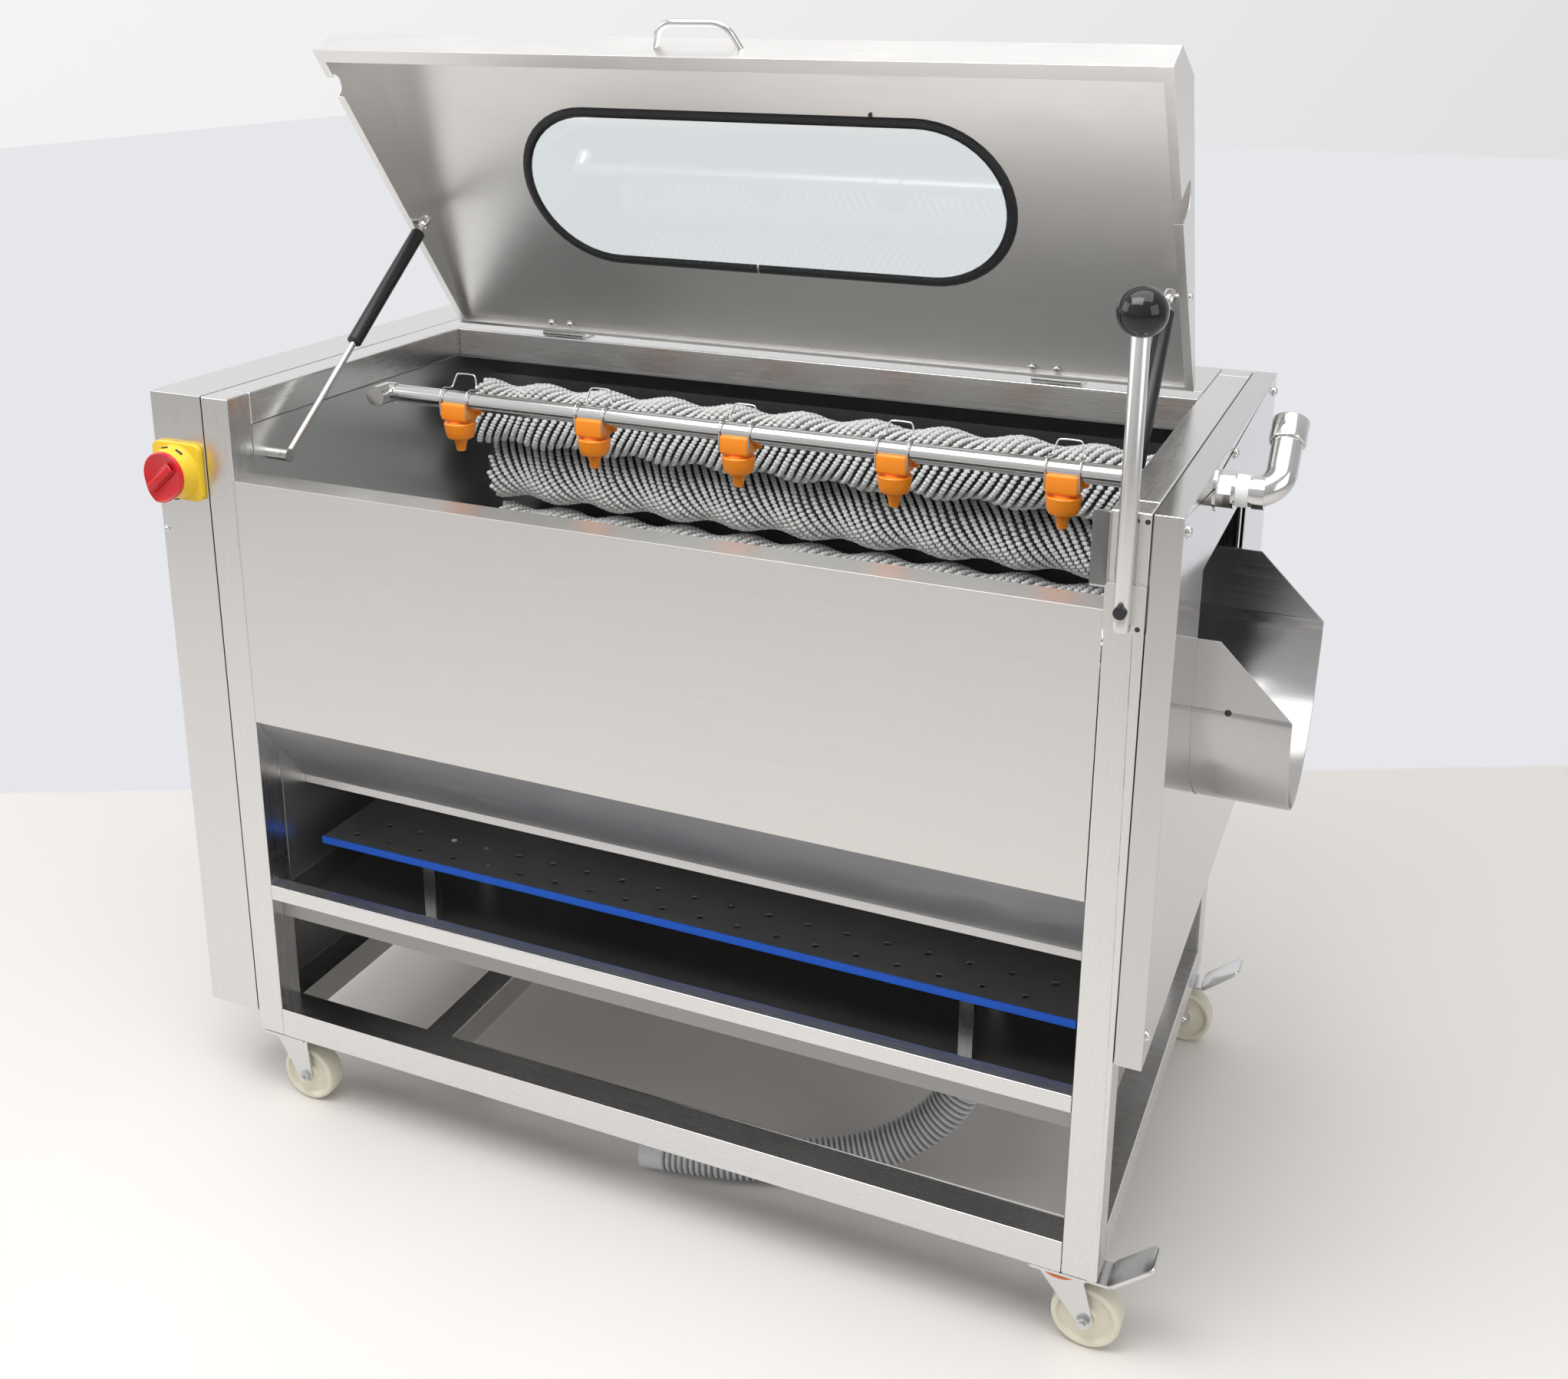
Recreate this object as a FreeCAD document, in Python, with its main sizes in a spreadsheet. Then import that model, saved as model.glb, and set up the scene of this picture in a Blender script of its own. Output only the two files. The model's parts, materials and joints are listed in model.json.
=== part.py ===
"""Brush-roller potato peeler: a stainless frame on casters with a U of brush rollers under a hinged lid.

Machine axes: X runs along the rollers from the drive side to the discharge side, Y runs from the
front to the back, and Z is up from the floor. The origin is under the middle of the machine.
"""
import FreeCAD, Part
import math
import os
import re

from FreeCAD import Placement, Rotation, Vector

doc = FreeCAD.newDocument("brush_roller_peeler")
sheet = doc.addObject("Spreadsheet::Sheet", "Sizes")

DRIVING_SIZES = [
    # Frame of square tube, measured between the posts
    ("clear_width", 1000),
    ("frame_depth", 640),
    ("frame_top", 929),
    ("ground_gap", 100),
    ("tube", 38),
    ("rail_strip", 20),
    ("middle_rail_low", 294),
    ("cross_bar_left", 190),
    ("hinge_rail_front", 462),
    # Sheet metal
    ("sheet_gauge", 2),
    ("panel_top", 833),
    ("panel_low", 533),
    ("panel_gap", 0.3),
    ("apron_reach", 80),
    ("apron_low", 428),
    ("apron_lip", 10),
    ("wall_low", 262),
    ("back_wall_front", 550),
    ("back_wall_bend", 850),
    ("left_cover_depth", 73),
    ("left_cover_low", 126),
    ("right_cover_depth", 27),
    ("right_cover_low", 362),
    ("cover_gap", 0.8),
    # Discharge opening, chute and gate
    ("drum_front_share", 0.28788),
    ("drum_centre_high", 692),
    ("trough_radius", 151),
    ("opening_top", 835),
    ("chute_top", 764),
    ("chute_cut", 74),
    ("chute_reach", 1162),
    ("chute_gauge", 2),
    ("gate_pivot_high", 841),
    ("gate_shaft_radius", 6),
    ("running_gap", 0.05),
    ("gate_clearance", 5),
    ("gate_bearing", 16),
    ("lever_length", 270),
    ("lever_width", 17),
    ("lever_gap", 5),
    ("lever_tail", 20),
    ("ball_socket", 12),
    ("plate_height", 46),
    ("wing_width", 14),
    ("wing_height", 72),
    ("ball_radius", 22.5),
    # Brush rollers on an arc around the drum centre
    ("roller_count", 9),
    ("roller_circle", 206),
    ("roller_first_angle", 38),
    ("roller_step_angle", 27.4),
    ("brush_crest", 46),
    ("brush_wave", 8),
    ("brush_pitch", 94.5),
    ("brush_start", 42),
    ("brush_end_gap", 13),
    ("brush_sides", 12),
    ("roller_shaft", 12.5),
    ("seat_gap", 0.3),
    # Spray bar and water inlet
    ("spray_back", 190),
    ("spray_high", 905),
    ("spray_radius", 11),
    ("spray_bore", 9),
    ("spray_start", 80),
    ("elbow_wall", 1.5),
    ("elbow_reach", 26),
    ("elbow_collar", 14),
    ("nozzle_first", 182),
    ("nozzle_last", 86),
    ("nozzle_count", 5),
    ("saddle_width", 34),
    ("saddle_depth", 30),
    ("saddle_height", 24),
    ("saddle_drop", 16),
    ("nozzle_cap", 17),
    ("nozzle_cap_height", 20),
    ("nozzle_tip", 7),
    ("nozzle_tip_height", 15),
    ("inlet_radius", 15),
    ("inlet_bore", 11),
    ("inlet_out", 58),
    ("inlet_leg", 85),
    ("inlet_nut", 19),
    ("inlet_depth", 30),
    # Tray, shelf and drain
    ("tray_wall", 40),
    ("spout_inset", 155),
    ("spout_back", 235),
    ("spout_radius", 22),
    ("spout_length", 24),
    ("shelf_left", 25),
    ("shelf_right", 15),
    ("shelf_front", 72),
    ("shelf_depth", 150),
    ("shelf_high", 350),
    ("shelf_hole", 4.5),
    ("shelf_hole_pitch", 48),
    ("shelf_hole_row", 22),
    ("shelf_hole_step", 36),
    ("shelf_post", 16),
    ("shelf_post_left", 170),
    ("shelf_post_inset", 142),
    ("edge_strip", 9),
    ("hose_radius", 25),
    # Lid, measured in its closed position from the hinge axis
    ("lid_gap", 5),
    ("lid_gauge", 1.5),
    ("lid_front", 455),
    ("lid_front_low", 96),
    ("lid_front_face", 45),
    ("lid_bevel_back", 60),
    ("lid_top", 5),
    ("lid_lip", 10),
    ("lid_front_lip", 16),
    ("notch_room", 6),
    ("lid_open_angle", 65),
    ("window_length", 618),
    ("window_width", 206),
    ("window_middle", 228),
    ("window_shift", -12),
    ("seal_width", 12),
    ("seal_height", 3),
    ("glass_gauge", 4),
    ("handle_spacing", 100),
    ("handle_height", 28),
    ("handle_lean", 12),
    ("handle_shift", -8),
    ("handle_radius", 4),
    ("hinge_axis_back", 466),
    ("hinge_axis_high", 934),
    ("hinge_barrel", 4.5),
    ("hinge_leaf", 24),
    ("hinge_length", 60),
    ("hinge_inset", 135),
    # Gas springs
    ("spring_inset", 26),
    ("spring_foot_back", 64),
    ("spring_foot_high", 851),
    ("spring_stud_out", 184),
    ("spring_stud_low", 30),
    ("right_foot_back", 128),
    ("right_foot_high", 745),
    ("right_stud_out", 150),
    ("right_stud_low", 26),
    ("spring_end_gap", 8),
    ("spring_end_wall", 10),
    ("cylinder_length", 198),
    ("cylinder_radius", 9),
    ("rod_radius", 4),
    ("stud_radius", 4),
    # Rotary switch
    ("switch_high", 838),
    ("switch_plate", 68),
    ("switch_plate_gauge", 8),
    ("switch_collar", 6),
    ("knob_radius", 24),
    ("knob_depth", 24),
    ("knob_stem", 6),
    ("knob_grip", 14),
    # Casters
    ("wheel_radius", 37.5),
    ("wheel_width", 26),
    ("axle_radius", 5),
    ("fork_gauge", 3),
    ("caster_plate", 60),
    ("caster_inset", 30),
    ("swivel_overhang", 3),
    ("swivel_offset", 28),
    ("head_radius", 22),
    ("head_height", 9),
    ("wheel_edge", 4),
    ("pedal_bend", 54),
    ("pedal_length", 58),
    ("pedal_width", 36),
    ("pedal_rise", 40),
    ("fixed_offset", 18),
]

# Sizes that follow from the driving ones
DERIVED_SIZES = [
    ("drum_reach", "=roller_circle + brush_crest"),
    ("drum_room", "=frame_depth - 2 * sheet_gauge - 2 * drum_reach"),
    ("drum_centre_back", "=sheet_gauge + drum_front_share * drum_room + drum_reach"),
    ("brush_end", "=clear_width - brush_end_gap"),
    ("nozzle_pitch", "=(clear_width - nozzle_first - nozzle_last) / (nozzle_count - 1)"),
    ("spout_x", "=clear_width - spout_inset"),
    ("shelf_length", "=clear_width - shelf_left - shelf_right"),
    ("shelf_post_right", "=clear_width - shelf_post_inset"),
    ("swivel_x", "=clear_width - swivel_overhang"),
]

for row, (name, value) in enumerate(DRIVING_SIZES + DERIVED_SIZES, start=1):
    sheet.set(f"A{row}", name)
    sheet.set(f"B{row}", str(value))
    sheet.setAlias(f"B{row}", name)
doc.recompute()


class SheetSizes:
    """Reads a driving dimension from the spreadsheet by its alias."""

    def __getattr__(self, name):
        return float(sheet.get(name))


size = SheetSizes()

# The origin lies under the middle of the whole machine's outline
left_end = -size.tube - size.cover_gap - size.left_cover_depth
right_end = size.chute_reach
lever_front = size.lever_gap + size.lever_width / 2 + size.ball_radius
knob_front = size.switch_plate_gauge + size.switch_collar + size.seat_gap + size.knob_depth
front_end = -max(lever_front, knob_front)
MIDDLE_X = (left_end + right_end) / 2
MIDDLE_Y = (front_end + size.frame_depth) / 2
middle_row = len(DRIVING_SIZES) + len(DERIVED_SIZES) + 1
for row, (name, value) in enumerate((("middle_x", MIDDLE_X), ("middle_y", MIDDLE_Y)), start=middle_row):
    sheet.set(f"A{row}", name)
    sheet.set(f"B{row}", str(value))
    sheet.setAlias(f"B{row}", name)
doc.recompute()

nodes = []


def bind(item, path, formula):
    """Binds one property to a formula of sheet names."""
    item.setExpression(path, re.sub(r"\b([a-z_]+[a-z])\b", r"Sizes.\1", str(formula)))


def place(item, x, y, z):
    """Binds an object's position, given in machine coordinates."""
    bind(item, "Placement.Base.x", f"({x}) - middle_x")
    bind(item, "Placement.Base.y", f"({y}) - middle_y")
    bind(item, "Placement.Base.z", z)


def block(length, width, height, x, y, z):
    """A box whose sizes and low corner are formulas."""
    box = doc.addObject("Part::Box", "Block")
    bind(box, "Length", length)
    bind(box, "Width", width)
    bind(box, "Height", height)
    place(box, x, y, z)
    return box


AXES = {"x": Rotation(Vector(0, 1, 0), 90), "y": Rotation(Vector(1, 0, 0), -90), "z": Rotation()}


def rod(axis, radius, length, x, y, z):
    """A cylinder along X, Y or Z from its low end."""
    cylinder = doc.addObject("Part::Cylinder", "Rod")
    cylinder.Placement.Rotation = AXES[axis]
    bind(cylinder, "Radius", radius)
    bind(cylinder, "Height", length)
    place(cylinder, x, y, z)
    return cylinder


def ball(radius, x, y, z):
    sphere = doc.addObject("Part::Sphere", "Ball")
    bind(sphere, "Radius", radius)
    place(sphere, x, y, z)
    return sphere


def cut(base, *tools):
    """The base with each tool taken out of it."""
    result = base
    for tool in tools:
        step = doc.addObject("Part::Cut", "Cut")
        step.Base = result
        step.Tool = tool
        result = step
    return result


def fuse(*items):
    joined = doc.addObject("Part::MultiFuse", "Fusion")
    joined.Shapes = list(items)
    return joined


def node(name, *items):
    """Names one sub-part. Several items stay separate solids in one compound."""
    item = items[0]
    if len(items) > 1:
        item = doc.addObject("Part::Compound", "Group")
        item.Links = list(items)
    item.Label = name
    nodes.append(item)
    return item


def feature(shape, placement=None):
    """A shape made directly from the sheet's values, then placed."""
    item = doc.addObject("Part::Feature", "Form")
    item.Shape = shape
    if placement is not None:
        item.Placement = placement
    return item


def origin_plane(body, role):
    return next(plane for plane in body.Origin.OriginFeatures if plane.Role == role)


def draw(sketch, loops):
    """Draws closed loops. A loop is a list of points, and ("arc", middle, end) bends to the next point."""
    for loop in loops:
        pen = Vector(*loop[0], 0)
        for step in loop[1:] + [loop[0]]:
            if step[0] == "arc":
                middle = Vector(*step[1], 0)
                end = Vector(*step[2], 0)
                sketch.addGeometry(Part.Arc(pen, middle, end), False)
            else:
                end = Vector(*step, 0)
                if (end - pen).Length > 1e-6:
                    sketch.addGeometry(Part.LineSegment(pen, end), False)
            pen = end


def new_body(name):
    return doc.addObject("PartDesign::Body", name)


def new_sketch(body, role, loops):
    sketch = body.newObject("Sketcher::SketchObject", "Profile")
    sketch.AttachmentSupport = [(origin_plane(body, role), "")]
    sketch.MapMode = "FlatFace"
    draw(sketch, loops)
    return sketch


def pad(body, role, loops, length, both_ways=False, reverse=False):
    """Pads loops drawn on one of the body's own origin planes."""
    sketch = new_sketch(body, role, loops)
    solid = body.newObject("PartDesign::Pad", "Pad")
    solid.Profile = sketch
    bind(solid, "Length", length)
    solid.Midplane = both_ways
    solid.Reversed = reverse
    doc.recompute()
    return solid


def pocket(body, role, loops, length, both_ways=True, reverse=False):
    """Cuts loops drawn on one of the body's own origin planes out of the body."""
    sketch = new_sketch(body, role, loops)
    hollow = body.newObject("PartDesign::Pocket", "Pocket")
    hollow.Profile = sketch
    bind(hollow, "Length", length)
    hollow.Midplane = both_ways
    hollow.Reversed = reverse
    doc.recompute()
    return hollow


def folded(points, gauge, side=1):
    """The outline of a bent sheet whose one face follows the points, thickened to one side."""
    far = []
    count = len(points)
    for i, (a, b) in enumerate(points):
        normals = []
        for j in (i - 1, i):
            if 0 <= j < count - 1:
                run = Vector(points[j + 1][0] - points[j][0], points[j + 1][1] - points[j][1], 0)
                run.normalize()
                normals.append(Vector(-run.y, run.x, 0))
        mitre = normals[0] + normals[-1]
        mitre.normalize()
        reach = gauge * side / mitre.dot(normals[0])
        far.append((a + mitre.x * reach, b + mitre.y * reach))
    return list(points) + far[::-1]


def rectangle(a, b, width, height):
    return [(a, b), (a + width, b), (a + width, b + height), (a, b + height)]


def polygon(a, b, radius, sides):
    """A regular polygon about a point, as a loop."""
    turns = [2 * math.pi * (side + 0.5) / sides for side in range(sides)]
    return [(a + radius * math.cos(turn), b + radius * math.sin(turn)) for turn in turns]


# Frame of square tube
right_face = "clear_width"
post_height = "frame_top - ground_gap"


def frame():
    gate_bore = rod("y", "gate_shaft_radius + running_gap", "3 * tube",
                    "clear_width + tube / 2", "-tube", "gate_pivot_high")
    post = ("tube", "tube", post_height)
    rear = "frame_depth - tube"
    node("frame_posts",
         block(*post, "-tube", "0", "ground_gap"),
         cut(block(*post, right_face, "0", "ground_gap"), gate_bore),
         block(*post, "-tube", rear, "ground_gap"),
         block(*post, right_face, rear, "ground_gap"))
    end_rail = ("tube", "frame_depth - 2 * tube", "tube")
    pipe_bore = rod("x", "spray_radius + running_gap", "3 * tube", "clear_width - tube", "spray_back", "spray_high")
    node("end_top_rails",
         block(*end_rail, "-tube", "tube", "frame_top - tube"),
         cut(block(*end_rail, right_face, "tube", "frame_top - tube"), pipe_bore))
    long_rail = ("clear_width", "tube", "tube")
    node("bottom_rails",
         block(*long_rail, "0", "0", "ground_gap"),
         block(*long_rail, "0", rear, "ground_gap"),
         block(*end_rail, "-tube", "tube", "ground_gap"),
         block(*end_rail, right_face, "tube", "ground_gap"))
    node("bottom_cross_bar",
         block("tube", "frame_depth - 2 * tube", "tube", "cross_bar_left", "tube", "ground_gap"))
    strip = ("clear_width", "rail_strip", "rail_strip")
    node("middle_rails",
         block(*strip, "0", "0", "middle_rail_low"),
         block(*strip, "0", "frame_depth - rail_strip", "middle_rail_low"))
    node("hinge_rail",
         block(*long_rail, "0", "hinge_rail_front", "frame_top - tube"))


def yz_sheet(name, loops, x, length):
    """A panel with one section all along X, as its own body."""
    body = new_body("Panel")
    pad(body, "YZ_Plane", loops, length)
    place(body, x, "0", "0")
    return node(name, body)


def panels():
    gauge = size.sheet_gauge
    tube = size.tube
    yz_sheet("front_panel", [folded([(tube, size.panel_top), (0, size.panel_top), (0, size.panel_low)],
                                    gauge, 1)],
             "panel_gap", "clear_width - 2 * panel_gap")
    yz_sheet("front_apron", [folded([(gauge, size.panel_low), (size.apron_reach, size.apron_low),
                                     (size.apron_reach, size.apron_low - size.apron_lip)], gauge, 1)],
             "panel_gap", "clear_width - 2 * panel_gap")
    rail_low = size.frame_top - tube
    under = size.hinge_rail_front
    back = size.back_wall_front
    yz_sheet("drum_back_wall",
             [folded([(under + gauge, rail_low), (under + tube, rail_low), (back, size.back_wall_bend),
                      (back, size.panel_low), (back - size.apron_reach, size.apron_low)], gauge, -1)],
             "panel_gap", "clear_width - 2 * panel_gap")
    node("rear_deck",
         block("clear_width", "frame_depth - sheet_gauge - hinge_rail_front - tube", "sheet_gauge",
               "0", "hinge_rail_front + tube", "frame_top - sheet_gauge"))
    node("rear_panel",
         block("clear_width", "sheet_gauge", "frame_top - middle_rail_low - rail_strip",
               "0", "frame_depth - sheet_gauge", "middle_rail_low + rail_strip"))


def discharge_outline(radius, top):
    """A U around the drum centre, open width twice the radius, up to the given height."""
    a = size.drum_centre_back
    b = size.drum_centre_high
    return [(a - radius, top), (a - radius, b), ("arc", (a, b - radius), (a + radius, b)), (a + radius, top)]


def end_walls():
    node("left_end_wall",
         block("sheet_gauge", "frame_depth - 2 * tube", "frame_top - tube - wall_low",
               "-sheet_gauge", "tube", "wall_low"))
    body = new_body("RightEndWall")
    pad(body, "YZ_Plane",
        [rectangle(size.tube, size.wall_low, size.frame_depth - 2 * size.tube,
                   size.frame_top - size.tube - size.wall_low)], "sheet_gauge")
    pocket(body, "YZ_Plane", [discharge_outline(size.trough_radius, size.opening_top)], "4 * sheet_gauge")
    place(body, "clear_width", "0", "0")
    rear_bearing = block("tube - sheet_gauge", "gate_bearing", "tube", "clear_width + sheet_gauge",
                         "drum_centre_back + trough_radius + gate_clearance", "gate_pivot_high - tube / 2")
    shaft_bore = rod("y", "gate_shaft_radius + running_gap", "frame_depth", "clear_width + tube / 2",
                     "0", "gate_pivot_high")
    node("right_end_wall", fuse(body, cut(rear_bearing, shaft_bore)))


def cover_body(low, depth, outward):
    """A shallow box of sheet, open towards the frame, standing out to one side."""
    gauge = size.sheet_gauge
    body = new_body("Cover")
    outer = rectangle(0, low, size.frame_depth, size.frame_top - low)
    inner = rectangle(gauge, low + gauge, size.frame_depth - 2 * gauge, size.frame_top - low - 2 * gauge)
    pad(body, "YZ_Plane", [outer], depth, reverse=not outward)
    pocket(body, "YZ_Plane", [inner], f"2 * ({depth} - sheet_gauge)")
    return body


def covers():
    left = cover_body(size.left_cover_low, "left_cover_depth", False)
    place(left, "-tube - cover_gap", "0", "0")
    node("left_cover", left)
    right = cover_body(size.right_cover_low, "right_cover_depth", True)
    opening = discharge_outline(size.trough_radius + size.seat_gap, size.opening_top)
    pocket(right, "YZ_Plane", [opening], "4 * right_cover_depth")
    place(right, "clear_width + tube + cover_gap", "0", "0")
    pipe_bore = rod("x", "spray_radius + running_gap", "4 * tube", "clear_width", "spray_back", "spray_high")
    node("right_cover", cut(right, pipe_bore))


def discharge_chute():
    """A U-shaped trough through the end wall and the cover, its upper outer corners cut off."""
    body = new_body("Chute")
    a = size.drum_centre_back
    b = size.drum_centre_high
    outer = size.trough_radius
    inner = outer - size.chute_gauge
    top = size.chute_top
    trough = [(a - outer, top), (a - outer, b), ("arc", (a, b - outer), (a + outer, b)), (a + outer, top),
              (a + inner, top), (a + inner, b), ("arc", (a, b - inner), (a - inner, b)), (a - inner, top)]
    pad(body, "YZ_Plane", [trough], "chute_reach - clear_width - sheet_gauge")
    reach = size.chute_reach - size.clear_width - size.sheet_gauge
    corner = [(reach - size.chute_cut, top), (reach, top - size.chute_cut), (reach + 1, top - size.chute_cut),
              (reach + 1, top + 1), (reach - size.chute_cut, top + 1)]
    pocket(body, "XZ_Plane", [corner], "4 * frame_depth")
    place(body, "clear_width + sheet_gauge", "0", "0")
    node("discharge_chute", body)


def gate():
    """The gate leaf hangs on a shaft through the right post, turned by the lever in front."""
    x = "clear_width + tube / 2"
    lever_middle = "(-lever_gap - lever_width / 2)"
    shaft_front = "(-lever_gap - lever_width - 4)"
    shaft_back = "(drum_centre_back + trough_radius + gate_clearance + gate_bearing)"
    shaft = rod("y", "gate_shaft_radius", f"{shaft_back} - {shaft_front}", x, shaft_front, "gate_pivot_high")
    leaf = new_body("Leaf")
    leaf_radius = size.trough_radius - size.chute_gauge - size.gate_clearance
    pad(leaf, "YZ_Plane", [discharge_outline(leaf_radius, size.gate_pivot_high)], "sheet_gauge")
    place(leaf, f"{x} - gate_shaft_radius", "0", "0")
    node("discharge_gate", fuse(shaft, leaf))
    low = "gate_pivot_high - lever_tail"
    reach = "lever_length - ball_radius + lever_tail + ball_socket"
    bore = rod("y", "gate_shaft_radius", "3 * lever_width", x, f"{shaft_front} - lever_width", "gate_pivot_high")
    node("gate_lever", cut(rod("z", "lever_width / 2", reach, x, lever_middle, low), bore))
    node("lever_ball",
         cut(ball("ball_radius", x, lever_middle, "gate_pivot_high + lever_length"),
             rod("z", "lever_width / 2", reach, x, lever_middle, low)))
    plate = block("tube", "lever_gap - 1", "plate_height", "clear_width", "-lever_gap + 1",
                  "gate_pivot_high - lever_tail - 6")
    wing = block("wing_width + tube / 2 - lever_width", "lever_gap - 1", "wing_height",
                 "clear_width - wing_width", "-lever_gap + 1",
                 "gate_pivot_high - lever_tail - 6 + plate_height - lever_gap")
    clearance = rod("y", "gate_shaft_radius + running_gap", "2 * lever_width", x, "-lever_width",
                    "gate_pivot_high")
    node("lever_bracket", cut(fuse(plate, wing), clearance))


def roller_shape():
    """A brush roller: its bristle tips lie on even waves, as a bar of many flats on a round shaft."""
    first = size.brush_start
    half_waves = 2 * round((size.brush_end - first) / size.brush_pitch)
    step = (size.brush_end - first) / half_waves
    sides = int(size.brush_sides)
    sections = []
    for index in range(half_waves + 1):
        radius = size.brush_crest - index % 2 * size.brush_wave
        turns = [2 * math.pi * side / sides for side in range(sides)]
        sections.append([Vector(first + index * step, radius * math.cos(t), radius * math.sin(t)) for t in turns])
    flats = [Part.Face(Part.makePolygon(ends + ends[:1])) for ends in (sections[0], sections[-1])]
    for near, far in zip(sections, sections[1:]):
        for side in range(sides):
            after = (side + 1) % sides
            corners = [near[side], near[after], far[after], far[side], near[side]]
            flats.append(Part.Face(Part.makePolygon(corners)))
    brush = Part.makeSolid(Part.makeShell(flats))
    if brush.Volume < 0:
        brush.reverse()
    ends = size.seat_gap
    shaft = Part.makeCylinder(size.roller_shaft, size.clear_width - 2 * ends, Vector(ends, 0, 0), Vector(1, 0, 0))
    return brush.fuse(shaft)


def roller_place(index):
    angle = math.radians(size.roller_first_angle - index * size.roller_step_angle)
    back = size.drum_centre_back + size.roller_circle * math.cos(angle)
    high = size.drum_centre_high + size.roller_circle * math.sin(angle)
    return back, high


def brush_rollers():
    roller = roller_shape()
    for index in range(int(size.roller_count)):
        back, high = roller_place(index)
        node(f"brush_roller_{index + 1}", feature(roller, shifted(0, back, high)))


def tray_and_shelf():
    floor = "wall_low"
    outer = block("clear_width - 2 * panel_gap", "frame_depth - 2 * rail_strip", "tray_wall",
                  "panel_gap", "rail_strip", floor)
    inner = block("clear_width - 2 * panel_gap - 2 * sheet_gauge",
                  "frame_depth - 2 * rail_strip - 2 * sheet_gauge", "tray_wall",
                  "panel_gap + sheet_gauge", "rail_strip + sheet_gauge", f"{floor} + sheet_gauge")
    hole = rod("z", "spout_radius - sheet_gauge", "tray_wall", "spout_x", "spout_back", f"{floor} - 1")
    node("drip_tray", cut(outer, inner, hole))
    spout = rod("z", "spout_radius", "spout_length", "spout_x", "spout_back", f"{floor} - spout_length")
    bore = rod("z", "spout_radius - sheet_gauge", "3 * spout_length", "spout_x", "spout_back",
               f"{floor} - 2 * spout_length")
    node("drain_spout", cut(spout, bore))
    body = new_body("Shelf")
    depth = size.shelf_depth
    pad(body, "XY_Plane", [rectangle(0, 0, size.shelf_length, depth)], "sheet_gauge")
    count = int((size.shelf_length - size.shelf_hole_pitch) / size.shelf_hole_pitch)
    holes = []
    for index in range(count):
        a = size.shelf_hole_pitch * (index + 0.75)
        holes.append(polygon(a, size.shelf_hole_row, size.shelf_hole, 8))
        holes.append(polygon(a + size.shelf_hole_pitch / 2, size.shelf_hole_row + size.shelf_hole_step,
                             size.shelf_hole, 8))
    pocket(body, "XY_Plane", holes, "4 * sheet_gauge")
    place(body, "shelf_left", "shelf_front + sheet_gauge", "shelf_high - sheet_gauge")
    node("perforated_shelf", body)
    node("shelf_edge_strip",
         block("shelf_length", "sheet_gauge", "edge_strip", "shelf_left", "shelf_front", "shelf_high + 1 - edge_strip"))
    supports = []
    for left in ("shelf_post_left", "shelf_post_right"):
        upright = block("shelf_post", "shelf_post", f"shelf_high - shelf_post - 2 * sheet_gauge - {floor}",
                        left, "shelf_front + 4 * sheet_gauge", f"{floor} + sheet_gauge")
        rear_post = block("shelf_post", "shelf_post", f"shelf_high - shelf_post - 2 * sheet_gauge - {floor}",
                          left, "shelf_front + shelf_depth - shelf_post", f"{floor} + sheet_gauge")
        bar = block("shelf_post", "shelf_depth - 4 * sheet_gauge", "shelf_post", left,
                    "shelf_front + 4 * sheet_gauge", "shelf_high - shelf_post - sheet_gauge")
        supports.append(fuse(upright, rear_post, bar))
    node("shelf_supports", *supports)


def pipe_along(points, radius):
    """A round bar along straight runs joined by tangent arcs."""
    wire_edges = []
    pen = Vector(*points[0])
    for i in range(1, len(points) - 1):
        corner = Vector(*points[i])
        before = Vector(*points[i - 1])
        after = Vector(*points[i + 1])
        arrive = (corner - before).normalize()
        leave = (after - corner).normalize()
        turn = arrive.getAngle(leave)
        shorter = min((corner - before).Length, (after - corner).Length)
        trim = 0.45 * shorter
        bend = trim / math.tan(turn / 2)
        start = corner - arrive * trim
        end = corner + leave * trim
        inward = (leave - arrive).normalize()
        middle = corner + inward * (bend / math.cos(turn / 2) - bend)
        wire_edges.append(Part.LineSegment(pen, start).toShape())
        wire_edges.append(Part.Arc(start, middle, end).toShape())
        print("bend radius", round(bend, 1), "in a bar of radius", radius)
        pen = end
    wire_edges.append(Part.LineSegment(pen, Vector(*points[-1])).toShape())
    path = Part.Wire(wire_edges)
    heading = (Vector(*points[1]) - Vector(*points[0])).normalize()
    section = Part.Wire([Part.Circle(Vector(*points[0]), heading, radius).toShape()])
    return path.makePipeShell([section], True, True)


def shifted(x, y, z, rotation=None):
    """A placement in machine coordinates."""
    return Placement(Vector(x - MIDDLE_X, y - MIDDLE_Y, z), rotation or Rotation())


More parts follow.
